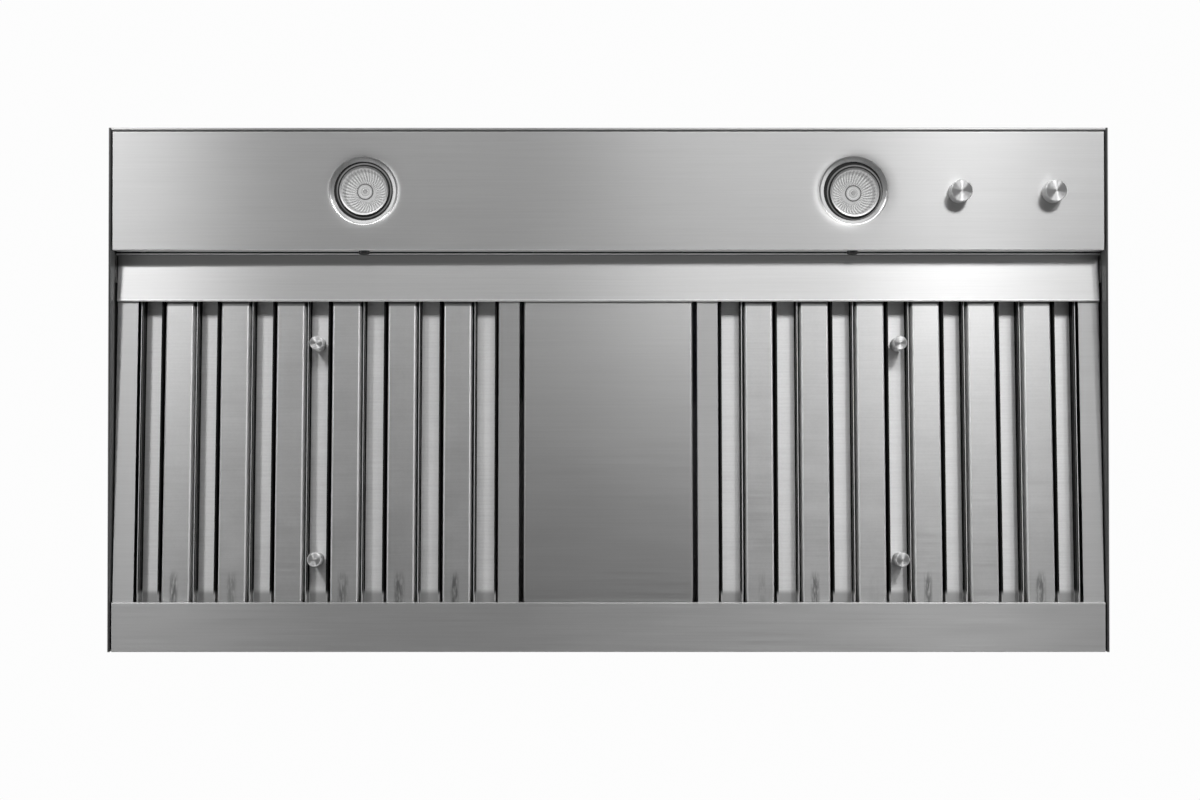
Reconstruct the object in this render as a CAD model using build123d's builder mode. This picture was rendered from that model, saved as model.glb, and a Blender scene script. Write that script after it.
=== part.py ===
"""Range hood insert: a stainless liner with baffle filters, lamps, controls and a blower.

The frame stands as the hood is installed: +Z up, the front towards -Y, the right side towards +X.
The origin is the centre of the cabinet mounting holes, on top of the lower tray. All sizes are in
millimetres.
"""
import os
from math import acos, cos, degrees, radians, sin, tan

from build123d import *

os.makedirs("parts", exist_ok=True)

# --- Driving dimensions ---------------------------------------------------------------------

# Lower tray: folded stainless sheet, open downwards
overall_width = 1067.0
overall_depth = 559.0
tray_height = 140.0
sheet = 1.2
hem_gap = 0.4
hem_height = 14.0
corner_return = 15.0
top_flange = 16.0
bend_radius = 1.1
rim_gap = 1.9

# Lamp and control panel, flush with the rim along the front
panel_depth = 126.8
panel_front_gap = 1.2
panel_front_flange = 18.0
panel_rear_flange = 18.0
tab_height = 30.0
tab_joggle = 3.0
tab_end_margin = 22.0

# Rail that carries the front ends of the filters
rail_gap = 2.7
rail_depth = 51.0
rail_slope = 6.0
rail_flange = 24.0
rail_hem = 12.0
rail_tab = 30.0

# Rear lip, in one piece with the rear wall
lip_depth = 52.8
lip_hem = 13.0

# Baffle filters and the panel between them
filter_slope = 3.1
filter_wall_gap = 4.7
filter_height = 22.0
filter_tuck = 23.0
filter_lap = 14.0
filter_seat = 0.3
filter_gauge = 0.8
frame_side_flange = 22.0
frame_front_flange = 21.0
frame_rear_flange = 12.0
frame_far_flange = 12.0
baffle_pitch = 60.0
near_baffle_width = 30.0
near_baffle_height = 16.0
far_baffle_width = 23.8
far_baffle_tip = 4.0
far_tip_width = 1.8
far_tip_height = 3.0
baffle_bend = 1.6
centre_width = 182.0
centre_gap = 4.8
centre_height = 18.0
centre_gauge = 1.0
centre_bend = 2.2

# Pull knobs of the filters
pull_radius = 7.4
pull_proud = 13.0
pull_spacer_radius = 5.5
pull_spacer_length = 11.0
pull_chamfer = 0.9
pull_front_inset = 68.6
pull_rear_inset = 45.5
pull_screw_radius = 2.5
pull_screw_length = 11.0
pull_screw_head_radius = 4.5
pull_screw_head = 2.6

# Lamps
lamp_inset = 271.8
lamp_face_radius = 25.0
lamp_glass = 2.5
lamp_glass_edge = 0.75
lamp_recess = 3.0
lamp_offsets = {-1: (0.5, -0.6), 1: (1.6, 1.2)}
dish_radius = 37.0
dish_hole_radius = 31.5
dish_depth = 3.5
reflector_neck_radius = 9.5
reflector_gauge = 1.2
reflector_bowl = 28.0
reflector_neck = 10.5
reflector_bulge = (19.3, 14.6)
capsule_radius = 5.2
capsule_tip = 4.2
bezel_gap = 1.2
bezel_lap = 4.0
clip_depth = 0.6
can_gap = 0.8
can_height = 64.0
can_flange = 7.0
can_vent_radius = 8.0
bracket_width = 20.0
bracket_bolt_radius = 2.5
bracket_bolt_rise = 10.0
bracket_bolt_head_radius = 5.9
bracket_bolt_head = 3.8

# Rotary controls
control_inset = 59.7
control_shift = 2.0
control_pitch = 100.0
knob_radius = 11.5
knob_height = 16.0
knob_chamfer = 0.8
knob_gap = 0.7
knob_recess = 5.5
knob_recess_radius = 9.0
shaft_radius = 3.0
shaft_in_knob = 7.8
bush_radius = 4.75
bush_length = 5.0
nut_across_flats = 14.0
nut_height = 2.4
switch_size = 38.0
switch_height = 26.0
switch_bore = 15.0

# Blower box on top of the tray
box_width = 600.0
box_front = -165.0
box_rear = 200.0
box_height = 160.0
box_flange = 15.0
box_ledge = 20.0
lid_skirt = 12.0
lid_screw_pitch_x = 400.0
lid_screw_pitch_y = 200.0

# Outlet collar and backdraft damper
duct_radius = 101.5
duct_gauge = 0.8
duct_height = 48.0
duct_flange = 14.0
duct_y = 75.0
bead_rise = 7.5
bead_half_height = 1.5
rod_radius = 3.0
rod_rise = 34.0
flap_radius = 98.5
flap_gauge = 1.0
flap_edge = 5.5
knuckle_radius = 5.0
knuckle_length = 36.0
knuckle_pitch = 80.0
lug_length = 4.2
lug_gap = 0.3

# Blower housing: a four-centre scroll with its mouth upwards
scroll_width = 170.0
scroll_gauge = 1.2
scroll_step = 20.0
scroll_radius = 104.0
mouth_depth = 104.6
mouth_plate = 108.0
blower_z = 55.0
inlet_radius = 58.0
inlet_lip = 8.0
inlet_lip_height = 4.0
inlet_bend = 3.6
wheel_radius = 76.0
wheel_length = 140.0
blade_depth = 13.0
blade_gauge = 0.8
blade_angle = 35.0
blade_count = 40
wheel_ring_gauge = 1.5
axle_radius = 6.0
axle_end = 4.0
rotor_radius = 42.0
rotor_length = 60.0
rotor_wall = 1.5
rotor_flange_radius = 52.0
stator_length = 44.0
stator_gap = 1.0
bearing_radius = 12.0
bearing_width = 6.0
arm_hub_radius = 14.0
arm_hub_length = 8.0
arm_width = 12.0
arm_gauge = 2.5
angle_leg = 25.0
angle_drop = 40.0
angle_gauge = 1.5
angle_notch_gap = 4.0
angle_bolt_drop = 24.0
angle_bolts_y = (-78.0, 104.0)

# Fasteners and mounting
rivet_radius = 2.0
rivet_head_radius = 3.4
rivet_head = 1.1
side_rivet_inset = 39.5
cross_rivet_inset = 213.5
screw_radius = 2.0
screw_head_radius = 4.0
screw_head = 2.2
screw_length = 6.0
mount_inset_x = 43.5
mount_inset_y = 39.5
mount_hole_radius = 3.5

# Electrical boxes
junction_gap = 45.0
junction_inset_y = 129.5
junction_size = (110.0, 70.0, 45.0)
knockout_radius = 11.1
wire_hole_radius = 12.0
cover_skirt = 10.0
plate_gap = 0.1
transformer_size = (110.0, 42.0, 28.0)
transformer_foot = 14.0

# Named clearances
shaft_clearance = 0.05
face_clearance = 0.3
fold_margin = 0.02
same_size = 0.01

# --- Places worked out from the driving dimensions --------------------------------------------

half_width = overall_width / 2
half_depth = overall_depth / 2
rim = -tray_height
hem = 2 * sheet + hem_gap
inner_half = half_width - sheet
panel_half = half_width - hem - rim_gap

panel_front = -half_depth + hem + panel_front_gap
panel_rear = panel_front + panel_depth
panel_middle = (panel_front + panel_rear) / 2
lamp_x = half_width - lamp_inset
control_right = half_width - control_inset
control_y = panel_middle + control_shift

rail_front = panel_rear + rail_gap
rail_rear = rail_front + rail_depth
lip_front = half_depth - lip_depth

filter_sin = sin(radians(filter_slope))
filter_cos = cos(radians(filter_slope))
filter_tan = tan(radians(filter_slope))
rail_tan = tan(radians(rail_slope))
lip_hem_rear = lip_front + lip_hem
rail_rise = (lip_hem_rear - rail_rear + rail_hem) * filter_tan - rail_hem * rail_tan
rail_tab_low = rim + rail_rise + rail_depth * rail_tan + sheet
rail_tab_high = rim + rail_rise + rail_depth * rail_tan + rail_flange
filter_width = half_width - filter_wall_gap - centre_width / 2 - centre_gap
filter_centre = half_width - filter_wall_gap - filter_width / 2
near_baffle_count = int((filter_width - far_baffle_width - 2 * filter_gauge) / baffle_pitch)
filter_front = (lip_front - rail_rear + filter_tuck) / filter_cos
filter_rear = filter_lap / filter_cos
far_web = filter_height - 2 * filter_gauge
filter_length = filter_front + filter_rear - 2 * filter_gauge

lamp_top = lamp_recess + lamp_glass
dish_top = dish_depth + sheet

mouth_outer = scroll_step / 2 + scroll_radius + 2 * scroll_step
mouth_inner = mouth_outer - mouth_depth
blower_y = duct_y - (mouth_outer + mouth_inner) / 2
scroll_half = scroll_width / 2
mouth_top = box_height - sheet

box_half = box_width / 2
junction_x = box_half + junction_gap + junction_size[0] / 2
junction_y = half_depth - junction_inset_y

blower_plane = Plane(origin=(0, blower_y, blower_z), x_dir=(0, 1, 0), z_dir=(1, 0, 0))
duct_plane = Plane(origin=(0, duct_y, box_height), x_dir=(1, 0, 0), z_dir=(0, 0, 1))


# --- Shared ways of making a piece ------------------------------------------------------------

def save(piece, name):
    """Label a finished piece and write it."""
    piece.part.label = name
    export_step(piece.part, f"parts/{name}.step")


def block(x0, x1, y0, y1, z0, z1, mode=Mode.ADD):
    """A flat sheet or bar between two corners."""
    with Locations(((x0 + x1) / 2, (y0 + y1) / 2, (z0 + z1) / 2)):
        Box(abs(x1 - x0), abs(y1 - y0), abs(z1 - z0), mode=mode)


def ring(plane, outer, inner, z0, z1, mode=Mode.ADD):
    """A round disc, or a ring if it has an inner radius, standing on a plane."""
    with BuildSketch(plane.offset(z0)) as profile:
        Circle(outer)
        if inner > 0:
            Circle(inner, mode=Mode.SUBTRACT)
    extrude(profile.sketch, amount=z1 - z0, mode=mode)


def section_through(plane):
    """The plane of a turned section: x is the radius, y runs along the axis."""
    return Plane(origin=plane.origin, x_dir=plane.x_dir, z_dir=-plane.y_dir)


def turned(plane, *points):
    """A turned piece from the corners of its section."""
    with BuildSketch(section_through(plane)) as profile:
        with BuildLine():
            Polyline(*points, close=True)
        make_face()
    revolve(profile.sketch, axis=Axis(plane.origin, plane.z_dir))


def soften(piece, height):
    """Round the long bends that lie at one height of a folded sheet."""
    edges = [e for e in piece.edges().filter_by(Axis.X) if abs(e.center().Z - height) < same_size]
    fillet(edges, bend_radius)


# --- Fasteners: where they go, and what they cut ------------------------------------------------

tab_centre = rim + hem_height + tab_joggle + tab_height / 2
return_middle = -half_depth + sheet + corner_return / 2
flange_middle = -sheet - top_flange / 2
side_rivets = [
    (side_rivet_inset - half_depth, flange_middle),
    (0.0, flange_middle),
    (half_depth - side_rivet_inset, flange_middle),
    (panel_middle, tab_centre),
    (rail_front + rail_tab / 2, (rail_tab_low + rail_tab_high) / 2),
    (return_middle, rim / 2),
    (-return_middle, rim / 2),
]
rivet_planes = []
for side in (-1, 1):
    for rivet_y, rivet_z in side_rivets:
        rivet_planes.append(Plane(origin=(side * half_width, rivet_y, rivet_z), z_dir=(side, 0, 0)))
    for rivet_x in (cross_rivet_inset - half_width, 0.0, half_width - cross_rivet_inset):
        rivet_origin = (rivet_x, side * half_depth, flange_middle)
        rivet_planes.append(Plane(origin=rivet_origin, z_dir=(0, side, 0)))

box_middle = (box_front + box_rear) / 2
screw_planes = []
for side in (-1, 1):
    for screw_y in (box_front + box_ledge, box_middle, box_rear - box_ledge):
        screw_planes.append(Plane(origin=(side * (box_half + box_flange / 2 + sheet / 2), screw_y, sheet)))
    for screw_y in (box_middle - lid_screw_pitch_y / 2, box_middle + lid_screw_pitch_y / 2):
        skirt_origin = (side * (box_half + sheet), screw_y, box_height - lid_skirt / 2 - sheet / 2)
        screw_planes.append(Plane(origin=skirt_origin, z_dir=(side, 0, 0)))
    for screw_x in (-lid_screw_pitch_x / 2, lid_screw_pitch_x / 2):
        skirt_y = box_rear + sheet if side > 0 else box_front - sheet
        skirt_origin = (screw_x, skirt_y, box_height - lid_skirt / 2 - sheet / 2)
        screw_planes.append(Plane(origin=skirt_origin, z_dir=(0, side, 0)))
    for screw_x in (-1, 1):
        reach = (duct_radius + duct_flange / 2 + bead_half_height) * cos(radians(45))
        flange_origin = (screw_x * reach, duct_y + side * reach, box_height + duct_gauge)
        screw_planes.append(Plane(origin=flange_origin))

angle_outer = scroll_half + angle_leg
blower_bolt_planes = []
for side in (-1, 1):
    for bolt_y in (box_front + box_ledge / 2 + sheet / 2, box_rear - box_ledge / 2 - sheet / 2):
        bolt_x = side * (scroll_half + angle_gauge + angle_leg / 2)
        blower_bolt_planes.append(Plane(origin=(bolt_x, bolt_y, 0)))
    for bolt_y in angle_bolts_y:
        bolt_origin = (side * (scroll_half + angle_gauge), blower_y + bolt_y, -angle_bolt_drop - sheet)
        blower_bolt_planes.append(Plane(origin=bolt_origin, z_dir=(side, 0, 0)))


def drill(planes, radius, depth):
    """Cut a fastener hole at each plane, as deep on both sides of its face."""
    for plane in planes:
        ring(plane, radius, 0, -depth, depth, mode=Mode.SUBTRACT)


def is_top(point, planes, head):
    """Whether a point lies at the top of a fastener's head."""
    return any(abs(plane.to_local_coords(point).Z - head) < same_size for plane in planes)


def fasteners(name, planes, shank, length, head_radius, head):
    """A group of fasteners with domed heads, one at each plane."""
    with BuildPart() as group:
        for plane in planes:
            ring(plane, head_radius, 0, 0, head)
            ring(plane, shank, 0, -length, 0)
        circles = group.edges().filter_by(GeomType.CIRCLE)
        rims = [e for e in circles if abs(e.radius - head_radius) < same_size]
        fillet([e for e in rims if is_top(e.arc_center, planes, head)], head / 2)
    save(group, name)


fasteners("body_rivets", rivet_planes, rivet_radius, 2 * sheet + rivet_head, rivet_head_radius, rivet_head)
fasteners("box_screws", screw_planes, screw_radius, screw_length, screw_head_radius, screw_head)
fasteners("blower_bolts", blower_bolt_planes, screw_radius, screw_length, screw_head_radius, screw_head)


# --- Tray walls -------------------------------------------------------------------------------

def side_wall(side, name):
    """A tray side: one sheet the full depth, its rim folded inwards into a hem."""
    with BuildPart() as wall:
        with BuildSketch(Plane.XZ.offset(-half_depth)):
            with BuildLine():
                FilletPolyline(
                    (side * (half_width - sheet / 2), -sheet),
                    (side * (half_width - sheet / 2), rim + sheet / 2),
                    (side * (half_width - hem + sheet / 2), rim + sheet / 2),
                    (side * (half_width - hem + sheet / 2), rim + hem_height),
                    radius=sheet / 2 + hem_gap / 2 - fold_margin,
                )
            trace(line_width=sheet)
        extrude(amount=overall_depth)
        drill(rivet_planes, rivet_radius + shaft_clearance, 2 * sheet)
    save(wall, name)


def cross_wall(side, name):
    """The front or rear sheet between the sides, with a return at each end that is riveted on."""
    outer = side * half_depth
    inner = outer - side * sheet
    low = rim + hem_height + tab_joggle
    narrow = panel_half if side > 0 else half_width - hem - face_clearance
    with BuildPart() as wall:
        block(-inner_half, inner_half, inner, outer, low, -sheet)
        block(-narrow, narrow, inner, outer, rim, low)
        for end in (-1, 1):
            block(end * (inner_half - sheet), end * inner_half, inner, inner - side * corner_return,
                  low, -sheet - top_flange - face_clearance)
        if side > 0:
            block(-panel_half, panel_half, lip_front, outer, rim, rim + sheet)
            block(-panel_half, panel_half, lip_front, lip_front + sheet, rim, rim + hem)
            block(-panel_half, panel_half, lip_front, lip_front + lip_hem, rim + hem - sheet, rim + hem)
        else:
            block(-narrow, narrow, outer, outer + hem, rim, rim + sheet)
            block(-narrow, narrow, outer + hem - sheet, outer + hem, rim, rim + hem_height)
        soften(wall, rim)
        drill(rivet_planes, rivet_radius + shaft_clearance, 2 * sheet)
    save(wall, name)


side_wall(-1, "left_wall")
side_wall(1, "right_wall")
cross_wall(-1, "front_wall")
cross_wall(1, "rear_wall")


# --- Top panel --------------------------------------------------------------------------------

# One sheet over the whole tray, flanged down inside the walls, open under the blower box.
with BuildPart() as top_panel:
    block(-half_width, half_width, -half_depth, half_depth, -sheet, 0)
    for side in (-1, 1):
        block(side * inner_half, side * (inner_half - sheet), -half_depth + hem,
              half_depth - hem, -sheet - top_flange, -sheet)
        block(-inner_half + hem, inner_half - hem, side * (half_depth - sheet),
              side * (half_depth - 2 * sheet), -sheet - top_flange, -sheet)
    block(-box_half + box_ledge, box_half - box_ledge, box_front + box_ledge, box_rear - box_ledge,
          -2 * sheet, sheet, mode=Mode.SUBTRACT)
    with GridLocations(overall_width - 2 * mount_inset_x, overall_depth - 2 * mount_inset_y, 2, 2):
        Cylinder(mount_hole_radius, 4 * sheet, mode=Mode.SUBTRACT)
    with Locations((junction_x, junction_y, 0)):
        Cylinder(wire_hole_radius, 4 * sheet, mode=Mode.SUBTRACT)
    drill(rivet_planes, rivet_radius + shaft_clearance, 2 * sheet)
    drill(screw_planes, screw_radius + shaft_clearance, screw_length)
    drill(blower_bolt_planes, screw_radius + shaft_clearance, screw_length)
save(top_panel, "top_panel")


# --- Lamp panel and filter rail ----------------------------------------------------------------

lamp_places = {side: Plane(origin=(side * lamp_x, panel_middle, rim)) for side in (-1, 1)}
bracket_bolt_planes = []
for side in (-1, 1):
    bolt_origin = (side * lamp_x, panel_rear, rim + bracket_bolt_rise)
    bracket_bolt_planes.append(Plane(origin=bolt_origin, z_dir=(0, 1, 0)))
control_planes = [
    Plane(origin=(control_right - control_pitch, control_y, rim)),
    Plane(origin=(control_right, control_y, rim)),
]

with BuildPart() as lamp_panel:
    block(-panel_half, panel_half, panel_front, panel_rear, rim, rim + sheet)
    block(-panel_half, panel_half, panel_front, panel_front + sheet, rim, rim + panel_front_flange)
    block(-panel_half, panel_half, panel_rear - sheet, panel_rear, rim, rim + panel_rear_flange)
    tab_front, tab_rear = panel_front + tab_end_margin, panel_rear - tab_end_margin
    joggle = rim + hem_height + tab_joggle
    for end in (-1, 1):
        block(end * (panel_half - sheet), end * panel_half, tab_front, tab_rear, rim, joggle)
        block(end * (panel_half - sheet), end * inner_half, tab_front, tab_rear, joggle - sheet, joggle)
        block(end * (inner_half - sheet), end * inner_half, tab_front, tab_rear, joggle - sheet,
              joggle + tab_height)
    soften(lamp_panel, rim)
    for place in lamp_places.values():
        ring(place, dish_radius, 0, -sheet, 2 * sheet, mode=Mode.SUBTRACT)
        turned(place, (dish_radius, 0), (dish_radius, sheet), (dish_hole_radius, dish_top),
               (dish_hole_radius, dish_depth))
    drill(control_planes, bush_radius + shaft_clearance, 2 * sheet)
    drill(bracket_bolt_planes, bracket_bolt_radius + shaft_clearance, 2 * sheet)
    drill(rivet_planes, rivet_radius + shaft_clearance, 2 * sheet)
save(lamp_panel, "lamp_panel")

with BuildPart() as filter_rail:
    rail_section = Plane(origin=(-panel_half, rail_rear, rim + rail_rise), x_dir=(0, 1, 0), z_dir=(1, 0, 0))
    with BuildSketch(rail_section):
        with BuildLine():
            FilletPolyline(
                (-rail_hem, rail_hem * rail_tan + hem - sheet / 2),
                (-sheet / 2, hem - sheet / 2),
                (-sheet / 2, sheet / 2),
                (-rail_depth + sheet / 2, rail_depth * rail_tan + sheet / 2),
                (-rail_depth + sheet / 2, rail_depth * rail_tan + rail_flange),
                radius=sheet / 2 + hem_gap / 2 - fold_margin,
            )
        trace(line_width=sheet)
    extrude(amount=2 * panel_half)
    for end in (-1, 1):
        block(end * (panel_half - sheet), end * inner_half, rail_front, rail_front + sheet,
              rail_tab_low, rail_tab_high)
        block(end * (inner_half - sheet), end * inner_half, rail_front, rail_front + rail_tab,
              rail_tab_low, rail_tab_high)
    drill(rivet_planes, rivet_radius + shaft_clearance, 2 * sheet)
save(filter_rail, "filter_rail")


# --- Baffle filters ---------------------------------------------------------------------------

def filter_plane(x):
    """The slope that a filter lies on: y runs down to the rear lip, z up into the hood."""
    return Plane(
        origin=(x, lip_front, rim + hem + filter_seat + lip_hem * filter_tan),
        x_dir=(1, 0, 0),
        z_dir=(0, filter_sin, filter_cos),
    )


def cross_section(plane, x, y, z=0.0):
    """A section across a filter, which extrudes towards the front."""
    return Plane(
        origin=plane.from_local_coords(Vector(x, y, z)),
        x_dir=(1, 0, 0),
        z_dir=(0, -filter_cos, filter_sin),
    )


def slab(plane, x0, x1, y0, y1, z0, z1, mode=Mode.ADD):
    """A block between two corners of a sloping plane."""
    with BuildSketch(plane.offset(z0)) as profile:
        with Locations(((x0 + x1) / 2, (y0 + y1) / 2)):
            Rectangle(x1 - x0, y1 - y0)
    extrude(profile.sketch, amount=z1 - z0, mode=mode)


def pull_planes(plane):
    """The two planes on the middle far channel where the pull knobs stand."""
    x = near_baffle_count % 2 * baffle_pitch / 2
    return [
        Plane(origin=plane.from_local_coords(Vector(x, y, far_web)), x_dir=(1, 0, 0), z_dir=plane.z_dir)
        for y in (pull_front_inset - filter_front, -pull_rear_inset)
    ]


def filter_frame(plane, name):
    """A folded channel frame: an outer wall with a near and a far flange."""
    half = filter_width / 2
    with BuildPart() as frame:
        slab(plane, -half, half, -filter_front, filter_rear, 0, filter_height)
        slab(plane, -half + filter_gauge, half - filter_gauge, -filter_front + filter_gauge,
             filter_rear - filter_gauge, filter_gauge, filter_height - filter_gauge, mode=Mode.SUBTRACT)
        slab(plane, -half + frame_side_flange, half - frame_side_flange, -filter_front + frame_front_flange,
             filter_rear - frame_rear_flange, -filter_gauge, 2 * filter_gauge, mode=Mode.SUBTRACT)
        slab(plane, -half + frame_far_flange, half - frame_far_flange, -filter_front + frame_far_flange,
             filter_rear - frame_far_flange, filter_height - 2 * filter_gauge, filter_height + filter_gauge,
             mode=Mode.SUBTRACT)
    save(frame, name)


def near_baffles(plane, name):
    """The channels nearest the cooktop, their flanges turned up into the hood."""
    half = near_baffle_width / 2 - filter_gauge / 2
    rise = near_baffle_height
    web = filter_gauge / 2
    with BuildPart() as baffles:
        for index in range(near_baffle_count):
            x = (index - (near_baffle_count - 1) / 2) * baffle_pitch
            with BuildSketch(cross_section(plane, x, filter_rear - filter_gauge, filter_gauge)):
                with BuildLine():
                    FilletPolyline((-half, rise), (-half, web), (half, web), (half, rise), radius=baffle_bend)
                trace(line_width=filter_gauge)
            extrude(amount=filter_length)
    save(baffles, name)


def far_baffles(plane, name):
    """The channels behind the gaps, open towards the cooktop, with thickened tips."""
    half = far_baffle_width / 2 - filter_gauge / 2
    web = far_web + filter_gauge / 2
    with BuildPart() as baffles:
        for index in range(near_baffle_count + 1):
            x = (index - near_baffle_count / 2) * baffle_pitch
            with BuildSketch(cross_section(plane, x, filter_rear - filter_gauge)):
                with BuildLine():
                    FilletPolyline((-half, far_baffle_tip), (-half, web), (half, web), (half, far_baffle_tip),
                                   radius=baffle_bend)
                trace(line_width=filter_gauge)
                for side in (-1, 1):
                    tip_x = side * (far_baffle_width / 2 - far_tip_width / 2)
                    with Locations((tip_x, far_baffle_tip + far_tip_height / 2)):
                        Rectangle(far_tip_width, far_tip_height)
            extrude(amount=filter_length)
        drill(pull_planes(plane), pull_screw_radius + shaft_clearance, 2 * filter_gauge)
    save(baffles, name)


def pull_knobs(plane, name):
    """The two turned knobs that a hand pulls the filter out by."""
    head_top = -pull_spacer_length
    head_low = -(far_web + pull_proud)
    bore = pull_screw_radius + shaft_clearance
    with BuildPart() as knobs:
        for place in pull_planes(plane):
            turned(place, (0, head_low), (pull_radius - pull_chamfer, head_low),
                   (pull_radius, head_low + pull_chamfer), (pull_radius, head_top),
                   (pull_spacer_radius, head_top), (pull_spacer_radius, 0), (bore, 0),
                   (bore, -pull_screw_length - face_clearance), (0, -pull_screw_length - face_clearance))
    save(knobs, name)


def pull_screws(plane, name):
    """The screws that hold the knobs, their heads on the far side of the channel."""
    fasteners(name, [place.offset(filter_gauge) for place in pull_planes(plane)], pull_screw_radius,
              pull_screw_length, pull_screw_head_radius, pull_screw_head)


for side, prefix in ((-1, "left"), (1, "right")):
    slope = filter_plane(side * filter_centre)
    filter_frame(slope, f"{prefix}_filter_frame")
    near_baffles(slope, f"{prefix}_near_baffles")
    far_baffles(slope, f"{prefix}_far_baffles")
    pull_knobs(slope, f"{prefix}_filter_knobs")
    pull_screws(slope, f"{prefix}_knob_screws")

# The plain panel between the filters is a shallow tray that lies on the same slope.
with BuildPart() as centre_panel:
    centre_half = centre_width / 2 - centre_gauge / 2
    with BuildSketch(cross_section(filter_plane(0), 0, filter_rear)):
        with BuildLine():
            FilletPolyline((-centre_half, centre_height), (-centre_half, centre_gauge / 2),
                           (centre_half, centre_gauge / 2), (centre_half, centre_height), radius=centre_bend)
        trace(line_width=centre_gauge)
    extrude(amount=filter_front + filter_rear)
save(centre_panel, "centre_panel")


# --- Lamps ------------------------------------------------------------------------------------

def lamp_axis(side):
    """The axis of a lamp, which sits a little off the middle of its dished hole."""
    shift_x, shift_y = lamp_offsets[side]
    place = lamp_places[side]
    return Plane(origin=place.origin + Vector(shift_x, shift_y, 0))


bezel_bore = lamp_face_radius + bezel_gap
bezel_tube = bezel_bore + sheet
bezel_flange = dish_hole_radius + bezel_lap
bezel_low = lamp_recess - clip_depth
bowl_top = lamp_top + reflector_bowl
neck_top = bowl_top + reflector_neck
neck_bore = reflector_neck_radius - 2 * reflector_gauge
can_bore = dish_radius + can_gap
can_outer = can_bore + sheet

for side, prefix in ((-1, "left"), (1, "right")):
    axis_plane = lamp_axis(side)
    place = lamp_places[side]

    # Dark holder ring that lies on the edge of the dished hole
    with BuildPart() as bezel:
        turned(axis_plane, (bezel_bore, bezel_low), (bezel_tube, bezel_low), (bezel_tube, dish_top),
                (bezel_flange, dish_top), (bezel_flange, dish_top + sheet),
               (bezel_bore, dish_top + sheet))
    save(bezel, f"{prefix}_lamp_bezel")

    # Front glass
    with BuildPart() as lens:
        ring(axis_plane, lamp_face_radius, 0, lamp_recess, lamp_top)
        fillet(lens.edges().filter_by(GeomType.CIRCLE).sort_by(Axis.Z)[0], lamp_glass_edge)
    save(lens, f"{prefix}_lamp_lens")

    # Glass bowl with its pinched neck
    with BuildPart() as reflector:
        with BuildSketch(section_through(axis_plane)):
            with BuildLine():
                inner_edge = (lamp_face_radius - reflector_gauge, lamp_top)
                inner_neck = (neck_bore, bowl_top - 2 * reflector_gauge)
                outer_neck = (reflector_neck_radius, bowl_top)
                inner_middle = (reflector_bulge[0], lamp_top + reflector_bulge[1])
                outer_middle = (reflector_bulge[0] + reflector_gauge, inner_middle[1] + reflector_gauge)
                Line((lamp_face_radius, lamp_top), inner_edge)
                ThreePointArc(inner_edge, inner_middle, inner_neck)
                Line(inner_neck, (neck_bore, neck_top))
                Line((neck_bore, neck_top), (reflector_neck_radius, neck_top))
                Line((reflector_neck_radius, neck_top), outer_neck)
                ThreePointArc(outer_neck, outer_middle, (lamp_face_radius, lamp_top))
            make_face()
        revolve(axis=Axis(axis_plane.origin, axis_plane.z_dir))
    save(reflector, f"{prefix}_lamp_reflector")

    # Round steel can over the lamp, with an arm bolted to the rear flange of the panel
    with BuildPart() as can:
        ring(place, can_outer, can_bore, sheet, can_height - sheet)
        ring(place, can_outer, can_vent_radius, can_height - sheet, can_height)
        ring(place, can_outer + can_flange, can_bore, sheet, 2 * sheet)
        arm_x = side * lamp_x
        arm_rear = panel_rear - sheet
        block(arm_x - bracket_width / 2, arm_x + bracket_width / 2, panel_middle + can_outer, arm_rear,
              rim + sheet, rim + 2 * sheet)
        block(arm_x - bracket_width / 2, arm_x + bracket_width / 2, arm_rear - sheet, arm_rear,
              rim + sheet, rim + panel_rear_flange)
        drill(bracket_bolt_planes, bracket_bolt_radius + shaft_clearance, 3 * sheet)
    save(can, f"{prefix}_lamp_can")

with BuildPart() as lamp_capsules:
    for side in (-1, 1):
        ring(lamp_axis(side), capsule_radius, 0, neck_top - reflector_bowl, neck_top)
    capsule_tips = lamp_capsules.edges().filter_by(GeomType.CIRCLE).group_by(Axis.Z)[0]
    fillet(capsule_tips, capsule_tip)
save(lamp_capsules, "lamp_capsules")

with BuildPart() as lamp_sockets:
    for side in (-1, 1):
        ring(lamp_axis(side), reflector_neck_radius, 0, neck_top, neck_top + reflector_neck)
save(lamp_sockets, "lamp_sockets")

with BuildPart() as lamp_clips:
    for side in (-1, 1):
        ring(lamp_axis(side), bezel_bore - shaft_clearance, lamp_face_radius - clip_depth, bezel_low,
             lamp_recess)
save(lamp_clips, "lamp_clips")

fasteners("bracket_bolts", bracket_bolt_planes, bracket_bolt_radius, screw_length, bracket_bolt_head_radius,
          bracket_bolt_head)


# --- Rotary controls ----------------------------------------------------------------------------

def control_body(plane, name):
    """A moulded rotary control behind the panel, its threaded bush through the panel."""
    x, y = plane.origin.X, plane.origin.Y
    half = switch_size / 2
    with BuildPart() as body:
        block(x - half, x + half, y - half, y + half, rim + sheet, rim + sheet + switch_height)
        ring(plane, bush_radius, 0, -bush_length, sheet)
        ring(plane, shaft_radius + shaft_clearance, 0, -bush_length, switch_bore, mode=Mode.SUBTRACT)
    save(body, name)


def control_shaft(plane, name):
    """The turning shaft of a control."""
    with BuildPart() as shaft:
        ring(plane, shaft_radius, 0, -knob_gap - knob_recess - shaft_in_knob, switch_bore - face_clearance)
    save(shaft, name)


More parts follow.
